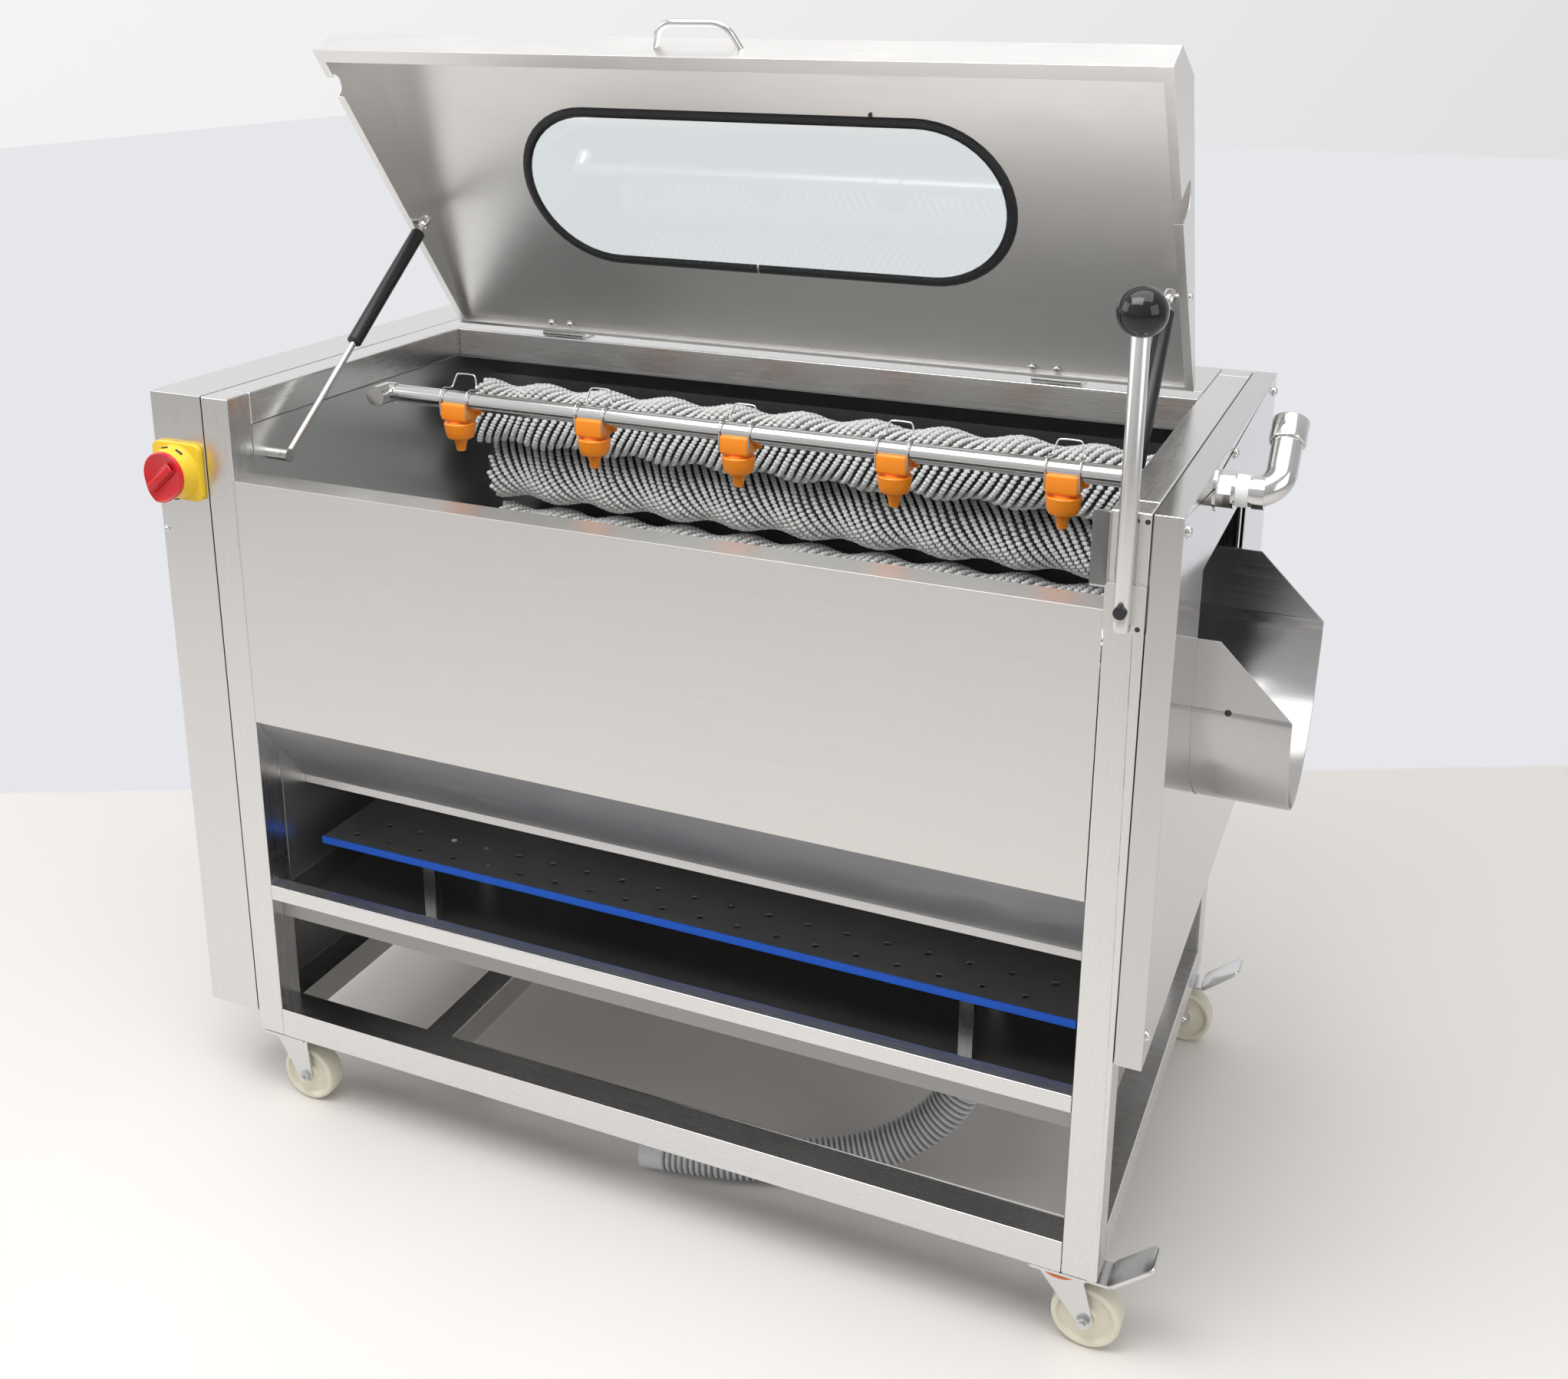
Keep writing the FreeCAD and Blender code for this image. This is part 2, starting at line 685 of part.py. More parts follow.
def spray_bar():
    """The pipe over the rollers, closed at its left end by an elbow that faces the front."""
    x_end = size.clear_width + size.tube + size.cover_gap + size.right_cover_depth
    pipe = rod("x", "spray_radius", f"{x_end} - spray_start", "spray_start", "spray_back", "spray_high")
    outer = "spray_radius + elbow_wall"
    elbow = rod("y", outer, "elbow_reach", "spray_start", "spray_back - elbow_reach", "spray_high")
    knuckle = ball(outer, "spray_start", "spray_back", "spray_high")
    collar = rod("x", outer, "elbow_collar", "spray_start", "spray_back", "spray_high")
    bore = rod("x", "spray_bore", f"2 * ({x_end} - spray_start)", "spray_start", "spray_back", "spray_high")
    node("spray_bar", cut(fuse(pipe, elbow, knuckle, collar), bore))
    heads = []
    saddle_low = "spray_high - spray_radius - saddle_drop"
    for index in range(int(size.nozzle_count)):
        x = f"(nozzle_first + {index} * nozzle_pitch)"
        saddle = cut(block("saddle_width", "saddle_depth", "saddle_height", f"{x} - saddle_width / 2",
                           "spray_back - saddle_depth / 2", saddle_low),
                     rod("x", "spray_radius", "2 * saddle_width", f"{x} - saddle_width", "spray_back", "spray_high"))
        cap = rod("z", "nozzle_cap", "nozzle_cap_height", x, "spray_back", f"{saddle_low} - nozzle_cap_height")
        tip = rod("z", "nozzle_tip", "nozzle_tip_height + nozzle_cap_height / 2", x, "spray_back",
                  f"{saddle_low} - nozzle_cap_height - nozzle_tip_height")
        heads.append(fuse(saddle, cap, tip))
    node("spray_nozzles", *heads)


def water_inlet():
    """A hexagon nipple on the right cover, a sleeve and an elbow that rises to the back."""
    radius = size.inlet_radius
    face = size.clear_width + size.tube + size.cover_gap + size.right_cover_depth
    turn_out = size.inlet_out
    leg = size.inlet_leg * math.sqrt(0.5)
    x, y, z = face, size.spray_back, size.spray_high
    points = [(x, y, z), (x + turn_out, y, z), (x + turn_out, y + leg, z + leg)]
    outer = pipe_along(points, radius)
    mouth = Vector(*points[2])
    outward = (mouth - Vector(*points[1])).normalize()
    bore = Part.makeCylinder(size.inlet_bore, size.inlet_depth, mouth - outward * size.inlet_depth, outward)
    corners = [math.radians(60 * i) for i in range(7)]
    ring = [Vector(x, y + size.inlet_nut * math.cos(a), z + size.inlet_nut * math.sin(a)) for a in corners]
    nut = Part.Face(Part.makePolygon(ring)).extrude(Vector(size.inlet_radius, 0, 0))
    node("water_inlet", feature(outer.fuse(nut).cut(bore).removeSplitter(), shifted(0, 0, 0)))


def rotary_switch():
    x = "-tube - cover_gap - left_cover_depth / 2"
    plate = block("switch_plate", "switch_plate_gauge", "switch_plate", f"{x} - switch_plate / 2",
                  "-switch_plate_gauge", "switch_high - switch_plate / 2")
    collar = rod("y", "knob_radius + 3", "switch_collar", x, "-switch_plate_gauge - switch_collar", "switch_high")
    bore = rod("y", "knob_stem + running_gap", "4 * knob_depth", x, "-2 * knob_depth", "switch_high")
    node("switch_base", cut(fuse(plate, collar), bore))
    face = "-switch_plate_gauge - switch_collar - seat_gap"
    body = rod("y", "knob_radius", "knob_depth / 3", x, f"{face} - knob_depth / 3", "switch_high")
    grip = block("knob_grip", "knob_depth", "2 * knob_radius", f"{x} - knob_grip / 2", f"{face} - knob_depth",
                 "switch_high - knob_radius")
    stem = rod("y", "knob_stem", "switch_plate_gauge + switch_collar", x, face, "switch_high")
    node("switch_knob", fuse(body, grip, stem))


# Lid pieces are drawn closed, from the hinge axis, and then turned open about it
def lid_place(x=0.0, y=0.0, z=0.0, rotation=None):
    """Places a piece given in closed-lid coordinates into the open position."""
    hinge = shifted(0, size.hinge_axis_back, size.hinge_axis_high,
                    Rotation(Vector(1, 0, 0), -size.lid_open_angle))
    return hinge.multiply(Placement(Vector(x, y, z), rotation or Rotation()))


def lid_outline(inset):
    """Section of the closed lid about the hinge axis, each face moved inward by the inset."""
    front = -size.lid_front + inset
    low = -size.lid_front_low
    face_top = low + size.lid_front_face
    top = size.lid_top - inset
    bevel = -size.lid_front + size.lid_bevel_back
    rear = -(size.hinge_axis_back - size.hinge_rail_front) - 1 - inset
    rear_low = -size.hinge_barrel + 1
    ease = inset * 0.45
    return [(front, low), (front, face_top - ease), (bevel + ease, top), (rear, top), (rear, rear_low)]


def end_notch(body, start, back, high, half_width):
    """A round-topped notch up into the lid's end cap, over a place given in machine coordinates."""
    a = back - size.hinge_axis_back
    b = high - size.hinge_axis_high
    low = -2 * size.lid_front_low
    loop = [(a - half_width, low), (a + half_width, low), (a + half_width, b),
            ("arc", (a, b + half_width), (a - half_width, b))]
    sketch = new_sketch(body, "YZ_Plane", [loop])
    sketch.AttachmentOffset = Placement(Vector(0, 0, start), Rotation())
    notch = body.newObject("PartDesign::Pocket", "Notch")
    notch.Profile = sketch
    notch.Length = 2 * size.lid_lip
    notch.Reversed = True


def lid_shell():
    body = new_body("Lid")
    gauge = size.lid_gauge
    length = size.clear_width - 2 * size.lid_gap
    pad(body, "YZ_Plane", [lid_outline(0)], "clear_width - 2 * lid_gap", both_ways=True)
    inner = lid_outline(gauge)
    low_front = (inner[0][0] + size.lid_front_lip, inner[0][1] - 2 * gauge)
    lip = [(inner[0][0], inner[0][1] + gauge), inner[1], inner[2], inner[3],
           (inner[4][0], inner[4][1] + gauge)]
    slope = (size.lid_front_low - size.hinge_barrel + 1) / (inner[4][0] - inner[0][0])
    pocket(body, "YZ_Plane", [lip], "clear_width - 2 * lid_gap - 2 * lid_gauge")
    mouth = [(low_front[0], low_front[1]),
             (low_front[0], inner[0][1] + slope * size.lid_front_lip + 3 * gauge),
             (inner[4][0] - 4, inner[4][1] + 3 * gauge), (inner[4][0] - 4, low_front[1])]
    pocket(body, "YZ_Plane", [mouth], "clear_width - 2 * lid_gap - 2 * lid_lip")
    a = size.window_length / 2
    r = size.window_width / 2
    middle = -size.window_middle
    left = size.window_shift - a
    right = size.window_shift + a
    stadium = [(left + r, middle - r), (right - r, middle - r), ("arc", (right, middle), (right - r, middle + r)),
               (left + r, middle + r), ("arc", (left, middle), (left + r, middle - r))]
    pocket(body, "XY_Plane", [stadium], "4 * lid_top")
    # The end caps are notched for the spray pipe on the right and for the spring's foot on the left
    end_notch(body, length / 2 - size.lid_lip - 1, size.spray_back, size.spray_high,
              size.spray_radius + size.notch_room)
    end_notch(body, 1 - length / 2 - size.lid_lip, size.spring_foot_back, size.spring_foot_high,
              2 * size.stud_radius + size.notch_room)
    doc.recompute()
    body.Placement = lid_place(x=size.clear_width / 2)
    node("lid_shell", body)


def stadium_wire(length, width, back, z):
    """A long round-ended loop about the middle of the window, as a wire."""
    r = width / 2
    a = length / 2 - r
    low = [Vector(-a, back - r, z), Vector(a, back - r, z)]
    high = [Vector(a, back + r, z), Vector(-a, back + r, z)]
    edges = [Part.LineSegment(low[0], low[1]).toShape(),
             Part.Arc(low[1], Vector(a + r, back, z), high[0]).toShape(),
             Part.LineSegment(high[0], high[1]).toShape(),
             Part.Arc(high[1], Vector(-a - r, back, z), low[0]).toShape()]
    return Part.Wire(edges)


def lid_window():
    """The clear pane in the lid's opening and the flat seal that laps its edge."""
    middle = -size.window_middle
    fit = 2 * size.seat_gap
    pane_low = size.lid_top - size.glass_gauge
    pane = Part.Face(stadium_wire(size.window_length - fit, size.window_width - fit, middle,
                                  pane_low)).extrude(Vector(0, 0, size.glass_gauge))
    place_in_lid = lid_place(x=size.clear_width / 2 + size.window_shift)
    node("lid_window", feature(pane, place_in_lid))
    wide = size.seal_width
    outside = Part.Face(stadium_wire(size.window_length + wide, size.window_width + wide, middle, size.lid_top))
    inside = Part.Face(stadium_wire(size.window_length - wide, size.window_width - wide, middle, size.lid_top))
    node("window_seal", feature(outside.cut(inside).extrude(Vector(0, 0, size.seal_height)), place_in_lid))


def lid_handle():
    """A bent bar on the lid's front face, standing forward of it."""
    half = size.handle_spacing / 2
    out = size.handle_height
    front = -size.lid_front
    high = -size.lid_front_low + size.lid_front_face / 2
    grip_half = half - size.handle_lean
    sunk = size.handle_radius
    reach = half + size.handle_lean / out * sunk
    points = [(-reach, front + sunk, high), (-grip_half, front - out, high), (grip_half, front - out, high),
              (reach, front + sunk, high)]
    # The ends are cut off flush with the lid's front face
    lid_side = Part.makeBox(4 * half, 4 * sunk, 4 * sunk, Vector(-2 * half, front, high - 2 * sunk))
    grip = pipe_along(points, size.handle_radius).cut(lid_side)
    node("lid_handle", feature(grip, lid_place(x=size.clear_width / 2 + size.handle_shift)))


def lid_hinges():
    """Two butt hinges: the fixed leaves and pins on the rail, the moving leaves on the lid."""
    fixed = []
    moving = []
    barrel = size.hinge_barrel
    third = size.hinge_length / 3
    for middle in (size.hinge_inset + size.hinge_length / 2,
                   size.clear_width - size.hinge_inset - size.hinge_length / 2):
        start = middle - size.hinge_length / 2
        base = size.frame_top - size.hinge_axis_high
        leaf = Part.makeBox(size.hinge_length, size.hinge_leaf, size.sheet_gauge, Vector(start, barrel + 1, base))
        knuckles = []
        for low in (start, start + 2 * third):
            knuckles.append(Part.makeCylinder(barrel, third, Vector(low, 0, 0), Vector(1, 0, 0)))
            knuckles.append(Part.makeBox(third, barrel + 2, size.sheet_gauge, Vector(low, 0, base)))
        pin = Part.makeCylinder(barrel / 2, size.hinge_length, Vector(start, 0, 0), Vector(1, 0, 0))
        fixed.append(leaf.fuse(knuckles + [pin]).removeSplitter())
        gap = size.seat_gap
        knuckle = Part.makeCylinder(barrel, third - 2 * gap, Vector(start + third + gap, 0, 0), Vector(1, 0, 0))
        strap = Part.makeBox(third - 2 * gap, 30, 1.5, Vector(start + third + gap, -30, size.lid_top))
        bore = Part.makeCylinder(barrel / 2 + size.running_gap, size.hinge_length,
                                 Vector(start, 0, 0), Vector(1, 0, 0))
        moving.append(knuckle.fuse(strap).cut(bore))
    return fixed, moving


def stud_place(stud, open_angle):
    """A lid stud in machine coordinates with the lid turned to an angle."""
    turn = Rotation(Vector(1, 0, 0), -open_angle)
    return Vector(0, size.hinge_axis_back, size.hinge_axis_high) + turn.multVec(stud)


def springs_and_fittings():
    """The gas springs, their studs on the walls and in the lid, and the lid's hinges.

    The right spring starts lower, so that it swings down behind the spray pipe as the lid closes.
    """
    left_foot = Vector(0, size.spring_foot_back, size.spring_foot_high)
    left_stud = Vector(0, -size.spring_stud_out, -size.spring_stud_low)
    right_foot = Vector(0, size.right_foot_back, size.right_foot_high)
    right_stud = Vector(0, -size.right_stud_out, -size.right_stud_low)
    gap = size.seat_gap
    stud = size.stud_radius
    eye = 2 * stud
    fixed, moving = lid_hinges()
    wall_items = [feature(leaf, shifted(0, size.hinge_axis_back, size.hinge_axis_high)) for leaf in fixed]
    lid_items = [feature(strap, lid_place()) for strap in moving]
    for side, x, inward, foot, lid_stud in (
            ("left", size.spring_inset, 1, left_foot, left_stud),
            ("right", size.clear_width - size.spring_inset, -1, right_foot, right_stud)):
        top = stud_place(lid_stud, size.lid_open_angle)
        along = (top - foot).normalize()
        closed_length = (stud_place(lid_stud, 0) - foot).Length
        rod_reach = closed_length - 2 * size.spring_end_gap - size.spring_end_wall
        out = Vector(inward, 0, 0)
        centre = Vector(x, foot.y, foot.z)
        wall = centre - out * size.spring_inset
        pin = Part.makeCylinder(stud, size.spring_inset + stud, wall, out)
        shoulder = Part.makeCylinder(eye, size.spring_inset - stud - gap, wall, out)
        wall_items.append(feature(pin.fuse(shoulder), shifted(0, 0, 0)))
        foot_eye = Part.makeCylinder(eye, eye, centre - out * stud, out)
        hole = Part.makeCylinder(stud + size.running_gap, 4 * eye, centre - out * 2 * eye, out)
        shank = Part.makeCylinder(size.rod_radius, rod_reach, centre, along)
        node(f"spring_rod_{side}", feature(foot_eye.fuse(shank).cut(hole), shifted(0, 0, 0)))
        upper = Vector(x, top.y, top.z)
        start = upper - along * (size.cylinder_length + size.spring_end_gap)
        tube = Part.makeCylinder(size.cylinder_radius, size.cylinder_length, start, along)
        bore = Part.makeCylinder(size.rod_radius + size.running_gap,
                                 size.cylinder_length - size.spring_end_wall, start, along)
        end_eye = Part.makeCylinder(eye, eye, upper - out * stud, out)
        neck = Part.makeCylinder(stud, size.spring_end_gap + stud, upper, along * -1)
        node(f"spring_cylinder_{side}", feature(tube.cut(bore).fuse([neck, end_eye]), shifted(0, 0, 0)))
        edge = size.lid_gap + size.lid_gauge
        start_x = edge if inward > 0 else size.clear_width - edge
        post = Part.makeCylinder(stud, size.spring_inset - edge - stud - gap, Vector(start_x, 0, 0) + lid_stud, out)
        lid_items.append(feature(post, lid_place()))
    node("lid_fittings", *lid_items)
    node("wall_fittings", *wall_items)


CASTERS = [
    ("front_left", False, False),
    ("rear_left", False, True),
    ("front_right", True, False),
    ("rear_right", True, True),
]


def caster(x, y, swivel):
    """Plate, fork and wheel as shapes. A swivel fork trails to +X and carries a brake pedal."""
    gauge = size.fork_gauge
    half = size.caster_plate / 2
    plate_low = size.ground_gap - gauge
    plate = Part.makeBox(2 * half, 2 * half, gauge, Vector(x - half, y - half, plate_low))
    axle_x = x + (size.swivel_offset if swivel else size.fixed_offset)
    centre = Vector(axle_x, y, size.wheel_radius)
    head_top = plate_low - (size.seat_gap if swivel else 0)
    crown = head_top - size.head_height
    head = Part.makeCylinder(size.head_radius, size.head_height, Vector(x, y, crown))
    gap = size.wheel_width / 2 + 2
    rear = x - size.head_radius
    front = x + size.head_radius + gauge
    ear = 2 * size.axle_radius
    cheeks = []
    for sign in (-1, 1):
        face = y + sign * gap
        corners = [Vector(rear, face, crown), Vector(front, face, crown),
                   Vector(axle_x + ear, face, size.wheel_radius), Vector(axle_x, face, size.wheel_radius - ear),
                   Vector(axle_x - ear, face, size.wheel_radius), Vector(rear, face, crown)]
        cheeks.append(Part.Face(Part.makePolygon(corners)).extrude(Vector(0, sign * gauge, 0)))
    bridge = Part.makeBox(front - rear, 2 * gap + 2 * gauge, gauge, Vector(rear, y - gap - gauge, crown))
    axle_half = gap + gauge + size.axle_radius
    axle = Part.makeCylinder(size.axle_radius, 2 * axle_half, centre - Vector(0, axle_half, 0), Vector(0, 1, 0))
    wheel = Part.makeCylinder(size.wheel_radius, size.wheel_width,
                              centre - Vector(0, size.wheel_width / 2, 0), Vector(0, 1, 0))
    tread = wheel.makeChamfer(size.wheel_edge, [e for e in wheel.Edges if e.Curve.TypeId == "Part::GeomCircle"])
    bore = Part.makeCylinder(size.axle_radius + size.running_gap, 2 * size.wheel_width,
                             centre - Vector(0, size.wheel_width, 0), Vector(0, 1, 0))
    fork = bridge.fuse(cheeks + [axle, head])
    if swivel:
        wide = size.pedal_width
        bend = x + size.pedal_bend
        arm = Part.makeBox(bend - front + gauge, wide, gauge, Vector(front - gauge, y - wide / 2, crown))
        tread_plate = Part.makeBox(size.pedal_length, wide, gauge)
        tread_plate.Placement = Placement(Vector(bend - gauge, y - wide / 2, crown),
                                          Rotation(Vector(0, 1, 0), -size.pedal_rise))
        fork = fork.fuse([arm, tread_plate])
    return plate, fork.removeSplitter(), tread.cut(bore)


def casters():
    fixed = []
    plates = []
    for name, swivel, rear in CASTERS:
        x = size.swivel_x if swivel else 0
        y = size.frame_depth - size.caster_inset if rear else size.caster_inset
        plate, fork, wheel = caster(x, y, swivel)
        if swivel:
            plates.append(feature(plate, shifted(0, 0, 0)))
            node(f"swivel_fork_{name}", feature(fork, shifted(0, 0, 0)))
        else:
            fixed.append(feature(fork.fuse(plate), shifted(0, 0, 0)))
        node(f"wheel_{name}", feature(wheel, shifted(0, 0, 0)))
    node("fixed_casters", *fixed)
    node("swivel_plates", *plates)


# Points of the hose, as steps from the mouth of the spout to the left, the front and down
HOSE_STEPS = [
    (0, 0, 0.9), (2, 1, 71), (25, 15, 135), (70, 37, 184), (131, 66, 211.5), (207, 107, 212), (289, 138, 211.5),
    (375, 151, 212),
]


def drain_hose():
    """The corrugated hose as a plain tube, from the spout down to the floor and along it."""
    mouth = Vector(size.spout_x, size.spout_back, size.wall_low - size.spout_length)
    points = [mouth - Vector(*step) for step in HOSE_STEPS]
    node("drain_hose", feature(pipe_along(points, size.hose_radius), shifted(0, 0, 0)))


frame()
panels()
end_walls()
covers()
discharge_chute()
gate()
brush_rollers()
tray_and_shelf()
spray_bar()
water_inlet()
rotary_switch()
lid_shell()
lid_window()
lid_handle()
springs_and_fittings()
casters()
drain_hose()
doc.recompute()

faults = [item.Label for item in doc.Objects if {"Invalid", "Error"} & set(item.State)]
faults += [item.Label for item in nodes if item.Shape.isNull() or not item.Shape.isValid()]
if faults:
    raise SystemExit("these objects failed: " + ", ".join(faults))

os.makedirs("parts", exist_ok=True)
for item in nodes:
    item.Shape.exportStep(f"parts/{item.Label}.step")
print(len(nodes), "nodes")
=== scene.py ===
# %% [markdown]
# A brush-roller potato peeler, dressed for its portrait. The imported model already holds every
# rigid piece at its real size, so this notebook only finishes surfaces and adds what is too fine
# for it: bristle tufts, spray nozzles with their wire bails, the window gasket, fasteners and the
# ribs of the drain hose.

# %% Load the frame
import json
import math

import bmesh
import bpy
import numpy as np
from mathutils import Matrix, Vector


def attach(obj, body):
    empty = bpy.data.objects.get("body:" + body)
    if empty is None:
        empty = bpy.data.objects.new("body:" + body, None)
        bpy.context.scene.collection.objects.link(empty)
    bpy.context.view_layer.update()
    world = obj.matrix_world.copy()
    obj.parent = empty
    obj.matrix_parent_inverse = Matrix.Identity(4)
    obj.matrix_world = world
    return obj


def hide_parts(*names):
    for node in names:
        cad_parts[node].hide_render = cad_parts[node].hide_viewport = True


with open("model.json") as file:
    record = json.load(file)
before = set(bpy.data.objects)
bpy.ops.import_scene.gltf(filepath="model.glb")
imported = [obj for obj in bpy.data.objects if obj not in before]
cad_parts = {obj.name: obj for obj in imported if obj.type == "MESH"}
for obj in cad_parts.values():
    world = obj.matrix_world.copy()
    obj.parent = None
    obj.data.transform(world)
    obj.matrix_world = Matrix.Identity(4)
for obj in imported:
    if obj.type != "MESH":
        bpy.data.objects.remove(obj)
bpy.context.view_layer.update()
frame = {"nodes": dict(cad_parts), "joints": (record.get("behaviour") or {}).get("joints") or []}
nodes = frame["nodes"]
joints = {joint["name"]: joint for joint in frame["joints"]}

# %% [markdown]
# The camera comes first, because everything is judged from it. Its place was solved from the
# corners of the machine in the photograph. The lens is stated by its focal length in pixels, and
# the principal point as a shift of the frame.

# %% Camera at the photograph's viewing angle
IMAGE_WIDTH, IMAGE_HEIGHT = 2044, 1798
FOCAL_PIXELS = 2133.17
PRINCIPAL_POINT = (1003.56, 622.69)
AZIMUTH, ELEVATION, ROLL = (math.radians(a) for a in (-23.4742, -16.2920, 0.25993))
CAMERA_PLACE = Vector((0.75153, -1.70149, 1.36447))

forward = Vector((math.sin(AZIMUTH) * math.cos(ELEVATION),
                  math.cos(AZIMUTH) * math.cos(ELEVATION), math.sin(ELEVATION)))
level_right = forward.cross(Vector((0, 0, 1))).normalized()
level_up = level_right.cross(forward)
right = level_right * math.cos(ROLL) + level_up * math.sin(ROLL)
up = level_up * math.cos(ROLL) - level_right * math.sin(ROLL)

camera_data = bpy.data.cameras.new("camera")
camera_data.sensor_width = 36.0
camera_data.lens = FOCAL_PIXELS * camera_data.sensor_width / IMAGE_WIDTH
camera_data.shift_x = (IMAGE_WIDTH / 2 - PRINCIPAL_POINT[0]) / IMAGE_WIDTH
camera_data.shift_y = (PRINCIPAL_POINT[1] - IMAGE_HEIGHT / 2) / IMAGE_WIDTH
camera_data.clip_end = 60
camera = bpy.data.objects.new("camera", camera_data)
bpy.context.scene.collection.objects.link(camera)
camera_axes = Matrix((right, up, -forward)).transposed().to_4x4()
camera.matrix_world = Matrix.Translation(CAMERA_PLACE) @ camera_axes
bpy.context.scene.camera = camera
bpy.context.scene.view_settings.view_transform = "Standard"
print("lens", round(camera_data.lens, 2))

# %% [markdown]
# Shader arithmetic reads best as plain formulas. This small class wraps one output socket, so
# `mask * 0.3 + 0.5` adds the Math nodes by itself, and `Nodes` makes any other node from its type,
# its settings and the values of its inputs.


# %% Node helpers
class Wire:
    """One output socket, with arithmetic that adds Math nodes."""

    def __init__(self, tree, socket):
        self.tree = tree
        self.socket = socket

    def _math(self, operation, first, second=None):
        node = self.tree.nodes.new("ShaderNodeMath")
        node.operation = operation
        for slot, value in enumerate((first, second)):
            if isinstance(value, Wire):
                self.tree.links.new(value.socket, node.inputs[slot])
            elif value is not None:
                node.inputs[slot].default_value = value
        return Wire(self.tree, node.outputs[0])

    def __add__(self, other):
        return self._math("ADD", self, other)

    def __radd__(self, other):
        return self._math("ADD", other, self)

    def __sub__(self, other):
        return self._math("SUBTRACT", self, other)

    def __mul__(self, other):
        return self._math("MULTIPLY", self, other)

    def __rmul__(self, other):
        return self._math("MULTIPLY", other, self)

    def clamp(self):
        node = self.tree.nodes.new("ShaderNodeClamp")
        self.tree.links.new(self.socket, node.inputs[0])
        return Wire(self.tree, node.outputs[0])


class Nodes:
    """A material's node tree with one call for any node."""

    def __init__(self, name):
        self.material = bpy.data.materials.new(name)
        self.material.use_nodes = True
        self.tree = self.material.node_tree
        self.shader = self.tree.nodes["Principled BSDF"]

    def add(self, kind, settings=None, inputs=None, output=0):
        node = self.tree.nodes.new("ShaderNode" + kind)
        for key, value in (settings or {}).items():
            setattr(node, key, value)
        for key, value in (inputs or {}).items():
            if isinstance(value, Wire):
                self.tree.links.new(value.socket, node.inputs[key])
            else:
                node.inputs[key].default_value = value
        return Wire(self.tree, node.outputs[output])

    def ramp(self, value, stops):
        node = self.tree.nodes.new("ShaderNodeValToRGB")
        elements = node.color_ramp.elements
        while len(elements) < len(stops):
            elements.new(0.5)
        for element, (place, colour) in zip(elements, stops):
            element.position = place
            element.color = colour
        self.tree.links.new(value.socket, node.inputs[0])
        return Wire(self.tree, node.outputs[0])

    def place(self, scale=(1, 1, 1), rotation=(0, 0, 0)):
        """Object coordinates in metres, stretched for a pattern with a grain."""
        where = self.add("TexCoord", output="Object")
        return self.add("Mapping", inputs={"Vector": where, "Scale": scale, "Rotation": rotation})

    def noise(self, where, scale, detail=3.0, roughness=0.5):
        return self.add("TexNoise", inputs={"Vector": where, "Scale": scale, "Detail": detail,
                                            "Roughness": roughness})

    def mix(self, factor, first, second):
        node = self.tree.nodes.new("ShaderNodeMix")
        node.data_type = "RGBA"
        for slot, value in ((0, factor), (6, first), (7, second)):
            if isinstance(value, Wire):
                self.tree.links.new(value.socket, node.inputs[slot])
            else:
                node.inputs[slot].default_value = value
        return Wire(self.tree, node.outputs[2])

    def bump(self, height, strength, distance):
        return self.add("Bump", inputs={"Height": height, "Strength": strength,
                                        "Distance": distance})

    def feed(self, **sockets):
        for key, value in sockets.items():
            name = key.replace("_", " ").title().replace("Ior", "IOR")
            if isinstance(value, Wire):
                self.tree.links.new(value.socket, self.shader.inputs[name])
            else:
                self.shader.inputs[name].default_value = value
        return self.material


def grey(value, warm=0.0):
    """A neutral colour, slightly warm or cool."""
    return (value * (1 + warm), value, value * (1 - warm), 1)


# %% [markdown]
# Stainless sheet is brushed along its length when it is rolled. The scratches are far finer than
# a pixel, so what the eye gets is a soft reflection, streaks that vary from place to place, and
# faint hand marks. Noise stretched a hundred times along the grain gives the streaks, and a broad
# noise gives the cloudiness.


# %% Stainless finishes
def stainless(name, tone, rough, grain=(1, 60, 60), streak=0.05, cloud=0.06, warm=0.01, bump=0.04):
    """Brushed stainless steel: grain runs along the axis with the smallest scale."""
    n = Nodes(name)
    fine = n.noise(n.place(scale=grain), 9.0, detail=4.0, roughness=0.65)
    broad = n.noise(n.place(), 2.2, detail=3.0)
    smear = n.noise(n.place(scale=(1, 1, 2.5)), 7.0, detail=5.0, roughness=0.6)
    marks = n.ramp(smear, [(0.52, grey(0)), (0.72, grey(1))])
    shade = 1 - streak + fine * (2 * streak) + (broad - 0.5) * cloud
    dark = grey(tone * 0.82, warm)
    light = grey(tone, warm * 0.6)
    colour = n.mix((shade - 1 + 0.5 + 0.5 * fine).clamp(), dark, light)
    roughness = rough + (fine - 0.5) * 0.16 + marks * 0.05 + (broad - 0.5) * 0.06
    return n.feed(base_color=colour, metallic=1.0, roughness=roughness.clamp(),
                  normal=n.bump(fine, bump, 0.0006))


